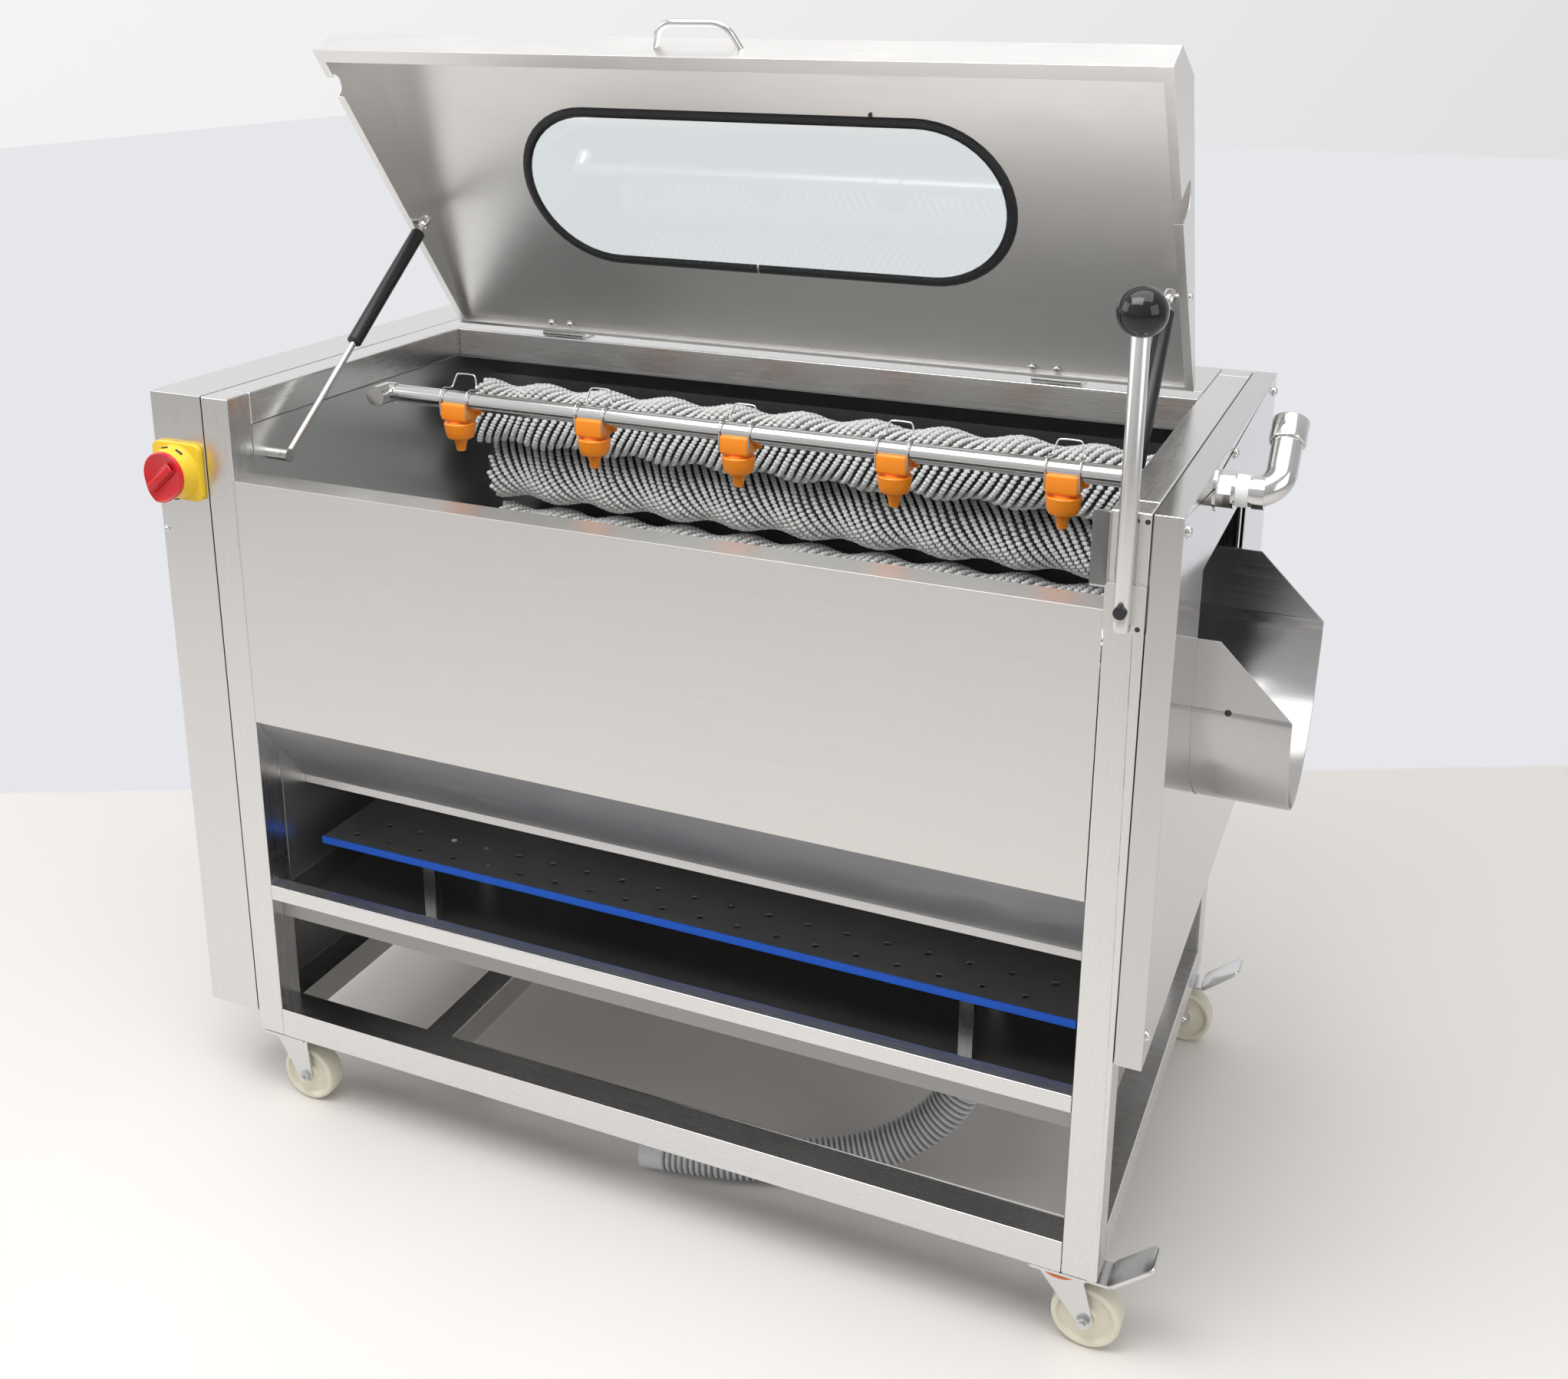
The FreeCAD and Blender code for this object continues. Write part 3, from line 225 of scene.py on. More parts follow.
GRAIN_X = (1, 70, 70)
GRAIN_Y = (70, 1, 70)
GRAIN_Z = (70, 70, 1)
finishes = {
    "frame_x": stainless("frame_x", 0.74, 0.26, GRAIN_X),
    "frame_y": stainless("frame_y", 0.74, 0.26, GRAIN_Y),
    "frame_z": stainless("frame_z", 0.74, 0.27, GRAIN_Z),
    "panel": stainless("panel", 0.74, 0.34, GRAIN_X, warm=0.03),
    "cover": stainless("cover", 0.72, 0.24, GRAIN_Z, bump=0.02),
    "mirror": stainless("mirror", 0.62, 0.10, GRAIN_Z, streak=0.02, cloud=0.02, bump=0.01),
    "chute": stainless("chute", 0.50, 0.22, GRAIN_X, bump=0.02),
    "inner": stainless("inner", 0.70, 0.36, GRAIN_X),
    # drum_wall is the same stainless painted darker: painted shade for the wall in the drum's shadow.
    "drum_wall": stainless("drum_wall", 0.44, 0.42, GRAIN_X, warm=-0.02),
    "lid": stainless("lid", 0.80, 0.36, GRAIN_X, warm=0.025),
    "tray": stainless("tray", 0.34, 0.45, GRAIN_X),
    "apron": stainless("apron", 0.62, 0.34, GRAIN_X, warm=0.01),
    "shelf": stainless("shelf", 0.46, 0.34, GRAIN_X, warm=-0.01),
    "bright": stainless("bright", 0.68, 0.13, GRAIN_X, streak=0.02, cloud=0.02, bump=0.01),
    "zinc": stainless("zinc", 0.72, 0.22, GRAIN_Z, streak=0.06, warm=-0.01),
}


# %% [markdown]
# Plastics and rubber are not metal: their colour is their own, with a soft highlight over it.
# Each gets a little mottling and a grain in the surface, at the scale of the mould's own texture.


# %% Plastic, rubber, glass and paint
MOULD_GRAIN = 180.0
MOTTLE_SCALE = 14.0


def plastic(name, colour, rough, mottle=0.12, bump=0.05):
    """A moulded or painted surface with a fine grain and a broad mottling."""
    n = Nodes(name)
    where = n.place()
    small = n.noise(where, MOULD_GRAIN, detail=3.0)
    broad = n.noise(where, MOTTLE_SCALE, detail=4.0)
    deep = tuple(c * (1 - mottle) for c in colour[:3]) + (1,)
    tone = n.mix((broad * 0.7 + small * 0.3).clamp(), deep, colour)
    return n.feed(base_color=tone, roughness=(rough + (broad - 0.5) * 0.12).clamp(),
                  normal=n.bump(small, bump, 0.0004))


def window_glass():
    """Clear acrylic with a little haze."""
    n = Nodes("window_glass")
    haze = n.noise(n.place(), 6.0)
    return n.feed(base_color=(0.93, 0.97, 0.96, 1), roughness=(0.02 + haze * 0.03), ior=1.49,
                  transmission_weight=1.0)


finishes.update({
    "glass": window_glass(),
    "rubber": plastic("rubber", (0.014, 0.015, 0.018, 1), 0.45, bump=0.1),
    "black_gloss": plastic("black_gloss", (0.006, 0.006, 0.007, 1), 0.07, mottle=0.0, bump=0.0),
    "black_paint": plastic("black_paint", (0.008, 0.008, 0.009, 1), 0.3, bump=0.02),
    "dark_steel": stainless("dark_steel", 0.22, 0.4, GRAIN_Z),
    "orange": plastic("orange", (1.0, 0.29, 0.012, 1), 0.32, bump=0.03),
    "yellow": plastic("yellow", (0.82, 0.55, 0.025, 1), 0.38, bump=0.04),
    "red": plastic("red", (0.62, 0.012, 0.018, 1), 0.28, bump=0.03),
    "blue": plastic("blue", (0.015, 0.13, 0.72, 1), 0.30, bump=0.03),
    "seal_orange": plastic("seal_orange", (0.80, 0.22, 0.05, 1), 0.4),
    "nylon": plastic("nylon", (0.80, 0.76, 0.62, 1), 0.42, bump=0.05),
    "core": plastic("core", (0.035, 0.038, 0.038, 1), 0.6),
    "dark": plastic("dark", (0.018, 0.019, 0.022, 1), 0.4),
    "hose": plastic("hose", (0.38, 0.39, 0.41, 1), 0.42, bump=0.05),
    "tape": plastic("tape", (0.85, 0.86, 0.85, 1), 0.5),
})


def bristle():
    """Nylon filaments: pale at the tips, painted darker towards the core as painted shade between the
    tufts.
    """
    n = Nodes("bristle")
    strands = n.noise(n.place(), 900.0, detail=2.0)
    patch = n.noise(n.place(), 9.0, detail=3.0)
    depth = n.add("Attribute", {"attribute_name": "depth"}, output="Fac")
    # The deep colour is painted shade at the tuft roots, where the tufts shade each other.
    deep = (0.16, 0.17, 0.165, 1)
    tip = n.mix(patch, (0.84, 0.86, 0.84, 1), (0.95, 0.955, 0.945, 1))
    above = ((depth - 0.46) * 2.6).clamp()
    colour = n.mix((above * (0.86 + strands * 0.28)).clamp(), deep, tip)
    return n.feed(base_color=colour, roughness=0.62, normal=n.bump(strands, 0.25, 0.0008))


def ribbed_hose():
    """Grey corrugated plastic, with painted shade in the grooves."""
    n = Nodes("ribbed_hose")
    speck = n.noise(n.place(), 240.0, detail=3.0)
    crown = n.add("Attribute", {"attribute_name": "crown"}, output="Fac")
    pale = n.mix(speck, (0.58, 0.59, 0.61, 1), (0.66, 0.67, 0.69, 1))
    # Near-black in the grooves, pale on the crowns: painted shade between the ribs.
    colour = n.mix((crown * 0.9 + speck * 0.2).clamp(), (0.055, 0.056, 0.06, 1), pale)
    return n.feed(base_color=colour, roughness=0.42, normal=n.bump(speck, 0.05, 0.0003))


finishes["bristle"] = bristle()
finishes["ribbed_hose"] = ribbed_hose()
print(len(finishes), "finishes")

# %% [markdown]
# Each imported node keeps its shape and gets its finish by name. The sheet and tube edges of the
# real machine are rounded by bending and by a polishing wheel. A weld and a bevel modifier round
# the sharp edges of the nodes without touching their meshes.

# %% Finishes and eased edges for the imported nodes
NODE_FINISH = {
    "frame_posts": "frame_z", "end_top_rails": "frame_y", "bottom_rails": "frame_x",
    "bottom_cross_bar": "frame_y", "middle_rails": "frame_x", "hinge_rail": "frame_x",
    "rear_deck": "frame_x", "rear_panel": "panel", "front_panel": "panel", "front_apron": "apron",
    # The drum's back wall takes drum_wall, the stainless painted darker as painted shade.
    "drum_back_wall": "drum_wall", "left_end_wall": "inner", "right_end_wall": "inner",
    "left_cover": "cover", "right_cover": "mirror", "discharge_chute": "chute",
    # The gate plate's near-black dark finish is painted shade, for the plate stands in shade inside
    # the hopper.
    "discharge_gate": "dark", "gate_lever": "frame_z", "lever_ball": "black_gloss",
    "lever_bracket": "frame_z", "drip_tray": "tray", "drain_spout": "hose",
    "perforated_shelf": "shelf", "shelf_edge_strip": "blue", "shelf_supports": "frame_z",
    "spray_bar": "bright", "spray_nozzles": "orange", "water_inlet": "bright",
    "switch_base": "yellow", "switch_knob": "red", "lid_shell": "lid", "lid_window": "glass",
    "window_seal": "rubber", "lid_handle": "bright", "lid_fittings": "bright",
    "wall_fittings": "bright", "fixed_casters": "zinc", "swivel_plates": "zinc",
    "swivel_fork_front_right": "zinc", "swivel_fork_rear_right": "zinc",
    "spring_rod_left": "bright", "spring_rod_right": "bright",
    "spring_cylinder_left": "black_paint", "spring_cylinder_right": "black_paint",
    "drain_hose": "hose",
}
EASED_EDGES = {
    "frame_posts": 0.0022, "end_top_rails": 0.0022, "bottom_rails": 0.0022,
    "bottom_cross_bar": 0.0022, "hinge_rail": 0.0022, "middle_rails": 0.0015,
    "shelf_supports": 0.0015, "front_panel": 0.0008,
    "left_cover": 0.0012, "right_cover": 0.0012, "switch_base": 0.002, "lid_shell": 0.0007,
    "lever_bracket": 0.0008, "gate_lever": 0.001,
    "swivel_fork_front_right": 0.0009, "swivel_fork_rear_right": 0.0009, "fixed_casters": 0.0009,
    "discharge_chute": 0.0006,
}


def paint(piece, finish):
    piece.data.materials.clear()
    piece.data.materials.append(finishes[finish])


for name, node in nodes.items():
    finish = NODE_FINISH.get(name) or ("nylon" if name.startswith("wheel_") else "bristle")
    paint(node, finish)
    if name in EASED_EDGES:
        weld = node.modifiers.new("weld", "WELD")
        weld.merge_threshold = 0.00002
        bevel = node.modifiers.new("eased edge", "BEVEL")
        bevel.width = EASED_EDGES[name]
        bevel.segments = 2
        bevel.limit_method = "ANGLE"
        bevel.angle_limit = math.radians(40)
        bevel.harden_normals = True
print("painted", len(nodes))

# %% [markdown]
# Small parts come from four moves. A turned part grows from a circle by extruding and scaling.
# A block is a cube sized in edit mode with its edges bevelled. A wire is a curve with a round
# section. Copies of a piece are joined into one, so that a set of like parts stays one object.

# %% Modelling helpers
MIDDLE = Vector((0.5251, 0.30085, 0.0))


def link(piece):
    bpy.context.scene.collection.objects.link(piece)
    return piece


def at(x, y, z):
    """A point given in millimetres from the inner face of the left front post, at the floor."""
    return Vector((x, y, z)) / 1000 - MIDDLE


def turned(name, stations, place=(0, 0, 0), towards=(0, 0, 1), sides=32, smooth=32):
    """A turned part from (radius, distance) stations, its axis laid along a direction."""
    bpy.ops.object.select_all(action="DESELECT")
    first_radius, first_height = stations[0]
    bpy.ops.mesh.primitive_circle_add(vertices=sides, radius=first_radius, fill_type="NGON",
                                      location=(0, 0, first_height))
    part = bpy.context.object
    part.name = name
    bpy.ops.object.transform_apply(location=True)
    bpy.ops.object.mode_set(mode="EDIT")
    bpy.ops.mesh.select_all(action="SELECT")
    radius, height = first_radius, first_height
    for next_radius, next_height in stations[1:]:
        rise = next_height - height
        bpy.ops.mesh.extrude_region_move(TRANSFORM_OT_translate={"value": (0, 0, rise)})
        bpy.ops.transform.resize(value=(next_radius / radius, next_radius / radius, 1),
                                 center_override=(0, 0, next_height))
        radius, height = next_radius, next_height
    bpy.ops.mesh.select_all(action="SELECT")
    bpy.ops.mesh.normals_make_consistent(inside=False)
    bpy.ops.object.mode_set(mode="OBJECT")
    turn = Vector(towards).to_track_quat("Z", "Y").to_matrix().to_4x4()
    part.data.transform(Matrix.Translation(place) @ turn)
    bpy.ops.object.shade_smooth_by_angle(angle=math.radians(smooth))
    return part


def block(name, low, high, ease=0.001, segments=3):
    """A rounded block between two corners."""
    low, high = Vector(low), Vector(high)
    bpy.ops.object.select_all(action="DESELECT")
    bpy.ops.mesh.primitive_cube_add(size=1, location=(low + high) / 2)
    part = bpy.context.object
    part.name = name
    bpy.ops.object.mode_set(mode="EDIT")
    bpy.ops.mesh.select_all(action="SELECT")
    bpy.ops.transform.resize(value=tuple(high - low))
    bpy.ops.mesh.bevel(offset=ease, segments=segments, affect="EDGES")
    bpy.ops.object.mode_set(mode="OBJECT")
    bpy.ops.object.transform_apply(location=True)
    bpy.ops.object.shade_smooth_by_angle(angle=math.radians(50))
    return part


def wire(name, points, radius, round_corners=True):
    """A round wire along points, its corners eased where that is asked for."""
    curve = bpy.data.curves.new(name, "CURVE")
    curve.dimensions = "3D"
    spline = curve.splines.new("NURBS" if round_corners else "POLY")
    spline.points.add(len(points) - 1)
    for place, point in zip(spline.points, points):
        place.co = (*point, 1)
    if round_corners:
        spline.order_u = 3
        spline.use_endpoint_u = True
    spline.resolution_u = 8
    curve.bevel_depth = radius
    curve.bevel_resolution = 3
    curve.use_fill_caps = True
    part = link(bpy.data.objects.new(name, curve))
    bpy.ops.object.select_all(action="DESELECT")
    part.select_set(True)
    bpy.context.view_layer.objects.active = part
    bpy.ops.object.convert(target="MESH")
    part = bpy.context.object
    bpy.ops.object.shade_smooth_by_angle(angle=math.radians(60))
    return part


def joined(name, parts):
    """Several pieces as one object, in the order given."""
    bpy.ops.object.select_all(action="DESELECT")
    for part in parts:
        part.select_set(True)
    bpy.context.view_layer.objects.active = parts[0]
    bpy.ops.object.join()
    whole = bpy.context.object
    whole.name = name
    bpy.ops.object.transform_apply(location=True, rotation=True, scale=True)
    return whole


def repeated(name, part, moves):
    """Copies of a piece, each with its own mesh, joined into one object; the piece is used up."""
    copies = []
    for index, move in enumerate(moves):
        copy = link(bpy.data.objects.new(f"{name}_{index}", part.data.copy()))
        copy.data.transform(move if isinstance(move, Matrix) else Matrix.Translation(move))
        copies.append(copy)
    bpy.data.objects.remove(part)
    return joined(name, copies)


def carved(part, tool):
    """The piece with a tool's shape cut out of it, by an applied boolean modifier."""
    cut = part.modifiers.new("cut", "BOOLEAN")
    cut.operation = "DIFFERENCE"
    cut.object = tool
    cut.solver = "EXACT"
    bpy.ops.object.select_all(action="DESELECT")
    bpy.context.view_layer.objects.active = part
    part.select_set(True)
    bpy.ops.object.modifier_apply(modifier="cut")
    bpy.data.objects.remove(tool)
    bpy.ops.object.shade_smooth_by_angle(angle=math.radians(40))
    return part


def finished(part, finish, body, slot_name, *nodes_replaced):
    """A painted piece, tied to its body, with the nodes it stands for hidden; slot_name is not used.
    """
    paint(part, finish)
    if nodes_replaced:
        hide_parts(*nodes_replaced)
    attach(part, body)
    return part


# %% [markdown]
# The drain hose is one length of corrugated pipe. It hangs from the spout under the tray, turns
# over a wide bend on the floor and runs out to the front. Its line is a smooth NURBS through the
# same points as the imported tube, and the ribs are rings of larger and smaller radius along it.

# %% Drain hose
HOSE_ROUTE = [(845, 235, 237.1), (843, 234, 167), (820, 220, 103), (775, 198, 54),
              (714, 169, 26.5), (638, 128, 26), (556, 97, 26.5), (470, 84, 26)]
HOSE_RADIUS = 0.025
HOSE_SIDES = 28
RIB_PITCH = 0.0072
RIB_DEPTH = 0.0034
RINGS_A_RIB = 6
CUFF_LENGTH = 0.028
CUFF_STEP = 0.0002


def smooth_line(points, name):
    """Points along the smooth NURBS spline that has these control points."""
    curve = bpy.data.curves.new(name, "CURVE")
    curve.dimensions = "3D"
    spline = curve.splines.new("NURBS")
    spline.points.add(len(points) - 1)
    for place, point in zip(spline.points, points):
        place.co = (*point, 1)
    spline.order_u = 3
    spline.use_endpoint_u = True
    spline.resolution_u = 60
    holder = link(bpy.data.objects.new(name, curve))
    mesh = bpy.data.meshes.new_from_object(holder)
    line = [vertex.co.copy() for vertex in mesh.vertices]
    bpy.data.objects.remove(holder)
    return line


def resample(line, step):
    """The same line at an even spacing."""
    lengths = [0.0]
    for a, b in zip(line, line[1:]):
        lengths.append(lengths[-1] + (b - a).length)
    total = lengths[-1]
    count = max(2, round(total / step))
    out = []
    seek = 0
    for index in range(count + 1):
        want = total * index / count
        while seek < len(lengths) - 2 and lengths[seek + 1] < want:
            seek += 1
        span = lengths[seek + 1] - lengths[seek]
        share = (want - lengths[seek]) / span if span else 0
        out.append(line[seek].lerp(line[seek + 1], share))
    return out, total


def tube_mesh(name, line, radii, sides):
    """A tube with closed ends along a line, with one radius at each point of it."""
    build = bmesh.new()
    rings = []
    side = Vector((0, 0, 1))
    for index, centre in enumerate(line):
        ahead = line[min(index + 1, len(line) - 1)] - line[max(index - 1, 0)]
        ahead.normalize()
        side = side - ahead * side.dot(ahead)
        if side.length < 1e-4:
            side = Vector((1, 0, 0)) - ahead * ahead.x
        side.normalize()
        across = ahead.cross(side)
        ring = []
        for turn in range(sides):
            angle = 2 * math.pi * turn / sides
            offset = (side * math.cos(angle) + across * math.sin(angle)) * radii[index]
            ring.append(build.verts.new(centre + offset))
        rings.append(ring)
    for near, far in zip(rings, rings[1:]):
        for turn in range(sides):
            following = (turn + 1) % sides
            build.faces.new((near[turn], near[following], far[following], far[turn]))
    build.faces.new(rings[0][::-1])
    build.faces.new(rings[-1])
    bmesh.ops.recalc_face_normals(build, faces=build.faces)
    mesh = bpy.data.meshes.new(name)
    build.to_mesh(mesh)
    build.free()
    for face in mesh.polygons:
        face.use_smooth = len(face.vertices) == 4
    return link(bpy.data.objects.new(name, mesh))


hose_points = [Vector(point) / 1000 - MIDDLE for point in HOSE_ROUTE]
hose_line, hose_length = resample(smooth_line(hose_points, "hose_line"), RIB_PITCH / RINGS_A_RIB)
hose_radii = []
for index in range(len(hose_line)):
    along = hose_length * index / (len(hose_line) - 1)
    rib = 0.5 + 0.5 * math.cos(2 * math.pi * along / RIB_PITCH)
    on_cuff = along > hose_length - CUFF_LENGTH
    hose_radii.append(HOSE_RADIUS - (CUFF_STEP if on_cuff else RIB_DEPTH * (1 - rib ** 0.6)))
hose = tube_mesh("drain_hose_ribbed", hose_line, hose_radii, HOSE_SIDES)
# The crown height drives the hose's painted shade in the grooves.
crown = hose.data.attributes.new("crown", "FLOAT", "POINT")
crown_heights = [(radius - min(hose_radii)) / RIB_DEPTH for radius in hose_radii]
crown.data.foreach_set("value", np.repeat(crown_heights, HOSE_SIDES))
paint(hose, "ribbed_hose")
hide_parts("drain_hose")
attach(hose, "frame")
[tuple(point) for point in hose_line[::6] + [hose_line[-1]]]
print("hose", round(hose_length, 3), "m")

# %% [markdown]
# A brush roller is a dark core with thick tufts of crimped nylon. The tufts stand in rows that
# wind steeply round the core, with dark gaps between the rows, and neighbouring rollers wind
# opposite ways. The tips are trimmed to even waves, and the core follows the same waves under
# them. One tuft is modelled, then copied along the rows, because thousands of separate hairs
# would cost far more and look the same from here.

# %% One bristle tuft
TUFT_SIDES = 6
bpy.ops.object.select_all(action="DESELECT")
bpy.ops.mesh.primitive_circle_add(vertices=TUFT_SIDES, radius=0.72, fill_type="NOTHING")
tuft = bpy.context.object
bpy.ops.object.mode_set(mode="EDIT")
bpy.ops.mesh.select_all(action="SELECT")
bpy.ops.mesh.extrude_region_move(TRANSFORM_OT_translate={"value": (0, 0, 0.86)})
bpy.ops.transform.resize(value=(1.42, 1.42, 1))
bpy.ops.mesh.extrude_region_move(TRANSFORM_OT_translate={"value": (0, 0, 0.12)})
bpy.ops.transform.resize(value=(0.62, 0.62, 1))
bpy.ops.mesh.edge_face_add()
bpy.ops.mesh.select_all(action="SELECT")
bpy.ops.mesh.quads_convert_to_tris()
bpy.ops.mesh.normals_make_consistent(inside=False)
bpy.ops.object.mode_set(mode="OBJECT")
tuft_points = np.array([vertex.co for vertex in tuft.data.vertices])
tuft_faces = np.array([list(face.vertices) for face in tuft.data.polygons])
bpy.data.objects.remove(tuft)
print("triangles a tuft", len(tuft_faces))

# %% Brush rollers
TUFT_ROOT = 0.027
TUFT_STANDING = 0.0075
BRUSH_CREST = 0.046
BRUSH_WAVE = 0.008
BRUSH_WAVES = 10
TUFTS_AROUND = 48
ROW_PITCH = 0.0124
ROW_STARTS = 12
TUFT_ALONG = 0.0030
TUFT_ACROSS = 0.0040
TURN_PLAY = 0.012
TIP_PLAY = 0.0007
SIZE_PLAY = 0.12
BRUSH_START, BRUSH_END = 0.042 - MIDDLE.x, 0.987 - MIDDLE.x
rows = int((BRUSH_END - BRUSH_START) / ROW_PITCH)


def brush_crest(x):
    """Radius of the tips at a place along the brush: even waves that start on a crest."""
    share = (x - BRUSH_START) / (BRUSH_END - BRUSH_START) * BRUSH_WAVES
    return BRUSH_CREST - BRUSH_WAVE * (0.5 - 0.5 * math.cos(2 * math.pi * share))


def brush_mesh(name, lean, seed):
    """All tufts of one roller about the X axis, with their height kept as an attribute."""
    chance = np.random.default_rng(seed)
    points = []
    faces = []
    heights = []
    height = tuft_points[:, 2] / tuft_points[:, 2].max()
    for column in range(TUFTS_AROUND):
        angle = 2 * math.pi * column / TUFTS_AROUND
        shift = (ROW_STARTS * column / TUFTS_AROUND) % 1.0
        for row in range(rows):
            x = BRUSH_START + TUFT_ACROSS + (row + shift) * ROW_PITCH
            if x > BRUSH_END - TUFT_ACROSS:
                continue
            turn = angle * lean + (chance.random() - 0.5) * TURN_PLAY
            tip = brush_crest(x) - TIP_PLAY * chance.random()
            radial = TUFT_ROOT + height * (tip - TUFT_ROOT)
            grown = 1 - SIZE_PLAY / 2 + SIZE_PLAY * chance.random()
            tangent = tuft_points[:, 1] * TUFT_ALONG * grown
            placed = np.empty_like(tuft_points)
            placed[:, 0] = x + tuft_points[:, 0] * TUFT_ACROSS * grown
            placed[:, 1] = radial * math.cos(turn) - tangent * math.sin(turn)
            placed[:, 2] = radial * math.sin(turn) + tangent * math.cos(turn)
            faces.append(tuft_faces + len(points) * len(tuft_points))
            points.append(placed)
            heights.append(height)
    mesh = bpy.data.meshes.new(name)
    mesh.from_pydata(np.concatenate(points).tolist(), [], np.concatenate(faces).tolist())
    depth = mesh.attributes.new("depth", "FLOAT", "POINT")
    depth.data.foreach_set("value", np.concatenate(heights).astype(np.float32))
    mesh.update()
    return mesh, len(points)


ROLLERS = 9
CORE_STEPS = 60
CORE_RECESS = ((0.018, 0.005), (0.021, 0.001))
core_stations = list(CORE_RECESS)
for step in range(CORE_STEPS + 1):
    along = 0.001 + (BRUSH_END - BRUSH_START - 0.002) * step / CORE_STEPS
    core_stations.append((brush_crest(BRUSH_START + along) - TUFT_STANDING, along))
length = BRUSH_END - BRUSH_START
core_stations += [(radius, length - inset) for radius, inset in reversed(CORE_RECESS)]
core_model = turned("roller_core", core_stations, place=(BRUSH_START, 0, 0), towards=(1, 0, 0),
                    sides=28)

for index in range(ROLLERS):
    axis = Vector(joints[f"roller_spin_{index + 1}"]["pos_m"])
    bristles, tuft_count = brush_mesh(f"bristles_{index + 1}", 1 if index % 2 else -1, index + 3)
    bristles.transform(Matrix.Translation((0, axis.y, axis.z)))
    brush = link(bpy.data.objects.new(f"roller_bristles_{index + 1}", bristles))
    core = link(bpy.data.objects.new(f"roller_core_{index + 1}", core_model.data.copy()))
    core.data.transform(Matrix.Translation((0, axis.y, axis.z)))
    paint(brush, "bristle")
    paint(core, "core")
    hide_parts(f"brush_roller_{index + 1}")
    for piece in (brush, core):
        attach(piece, f"roller_{index + 1}")
bpy.data.objects.remove(core_model)
print("tufts a roller", tuft_count)

# %% [markdown]
# Each spray nozzle clips onto the pipe. Its turned cap and tip hang under a saddle that hugs the
# pipe, and a steel bail goes round the pipe on both sides of it and stands up behind. The cap is
# turned from its profile. The saddle is a rounded block with the pipe's round cut out of it.

# %% Spray nozzles with wire bails
PIPE_BACK, PIPE_HIGH, PIPE_RADIUS = 190, 905, 11
NOZZLES = [182 + 183 * index for index in range(5)]
cap = turned("nozzle_cap", [(r / 1000, z / 1000) for r, z in (
    (4.6, 843), (5.4, 843.6), (6.4, 850), (8.6, 858), (12.5, 858.6), (15.4, 860), (16.9, 863),
    (18.0, 869), (18.9, 875), (19.2, 877.6), (18.4, 878.8), (13.2, 879.2), (12.4, 881), (12.4, 884))],
    place=(0, at(0, PIPE_BACK, 0).y, 0), sides=40)
saddle = block("nozzle_saddle", (-0.0175, at(0, PIPE_BACK - 15, 0).y, 0.8815),
               (0.0175, at(0, PIPE_BACK + 15, 0).y, 0.9035), ease=0.0035, segments=4)
bpy.ops.object.select_all(action="DESELECT")
bpy.ops.mesh.primitive_cylinder_add(vertices=48, radius=(PIPE_RADIUS + 0.15) / 1000, depth=0.06,
                                    location=(0, at(0, PIPE_BACK, 0).y, PIPE_HIGH / 1000),
                                    rotation=(0, math.pi / 2, 0))
saddle = carved(saddle, bpy.context.object)
tab = block("nozzle_tab", (0.010, at(0, PIPE_BACK + 8, 0).y, 0.886),
            (0.0235, at(0, PIPE_BACK + 13, 0).y, 0.9), ease=0.002, segments=3)
nozzle = joined("nozzle", [cap, saddle, tab])
nozzles = repeated("spray_nozzles_clipped", nozzle, [(at(x, 0, 0).x, 0, 0) for x in NOZZLES])
finished(nozzles, "orange", "frame", "orange_plastic", "spray_nozzles")

BAIL_RADIUS = 0.00105
BAIL_HALF = [(17.9, 177.2, 887), (17.9, 176.6, 897), (17.9, 176.6, 909), (17.9, 180.5, 918),
             (17.9, 190, 919.2), (17.9, 198, 916.5), (17.0, 203, 917), (14.6, 206, 926),
             (12.6, 207, 932), (9.0, 207.3, 933.2)]
origin_x = at(0, 0, 0).x
bail_points = [at(0, y, z) + Vector((-x / 1000 - origin_x, 0, 0)) for x, y, z in BAIL_HALF]
bail_points += [at(0, y, z) + Vector((x / 1000 - origin_x, 0, 0)) for x, y, z in reversed(BAIL_HALF)]
bail = wire("bail", bail_points, BAIL_RADIUS)
bails = repeated("nozzle_bails", bail, [(at(x, 0, 0).x, 0, 0) for x in NOZZLES])
finished(bails, "bright", "frame", "bright_steel")

# %% [markdown]
# The window is held by a rubber profile that grips the edge of the lid's opening on both faces.
# It is one strip bent round the long opening, with its ends meeting in the middle of the lower
# run, so here it is one round section swept along the edge and then flattened.

# %% Window seal
WINDOW = {"middle": 228, "length": 618, "width": 206, "shift": -12}
SEAL_JOINT, SEAL_GAP = -17, 1.8
SEAL_RADIUS = 0.0066
lid_frame = Matrix.Translation(at(500, 466, 934)) @ Matrix.Rotation(math.radians(-65), 4, "X")


def stadium(half_length, half_width, joint, joint_gap, steps=24):
    """Points round a long round-ended loop, from one side of the joint to the other."""
    straight = half_length - half_width
    arc = [math.pi * step / steps for step in range(1, steps)]
    points = [(joint + joint_gap, half_width), (straight * 0.5, half_width), (straight, half_width)]
    points += [(straight + half_width * math.sin(a), half_width * math.cos(a)) for a in arc]
    points += [(straight, -half_width), (0, -half_width), (-straight, -half_width)]
    points += [(-straight - half_width * math.sin(a), -half_width * math.cos(a)) for a in arc]
    points += [(-straight, half_width), (-straight * 0.5, half_width)]
    points.append((joint - joint_gap, half_width))
    return points


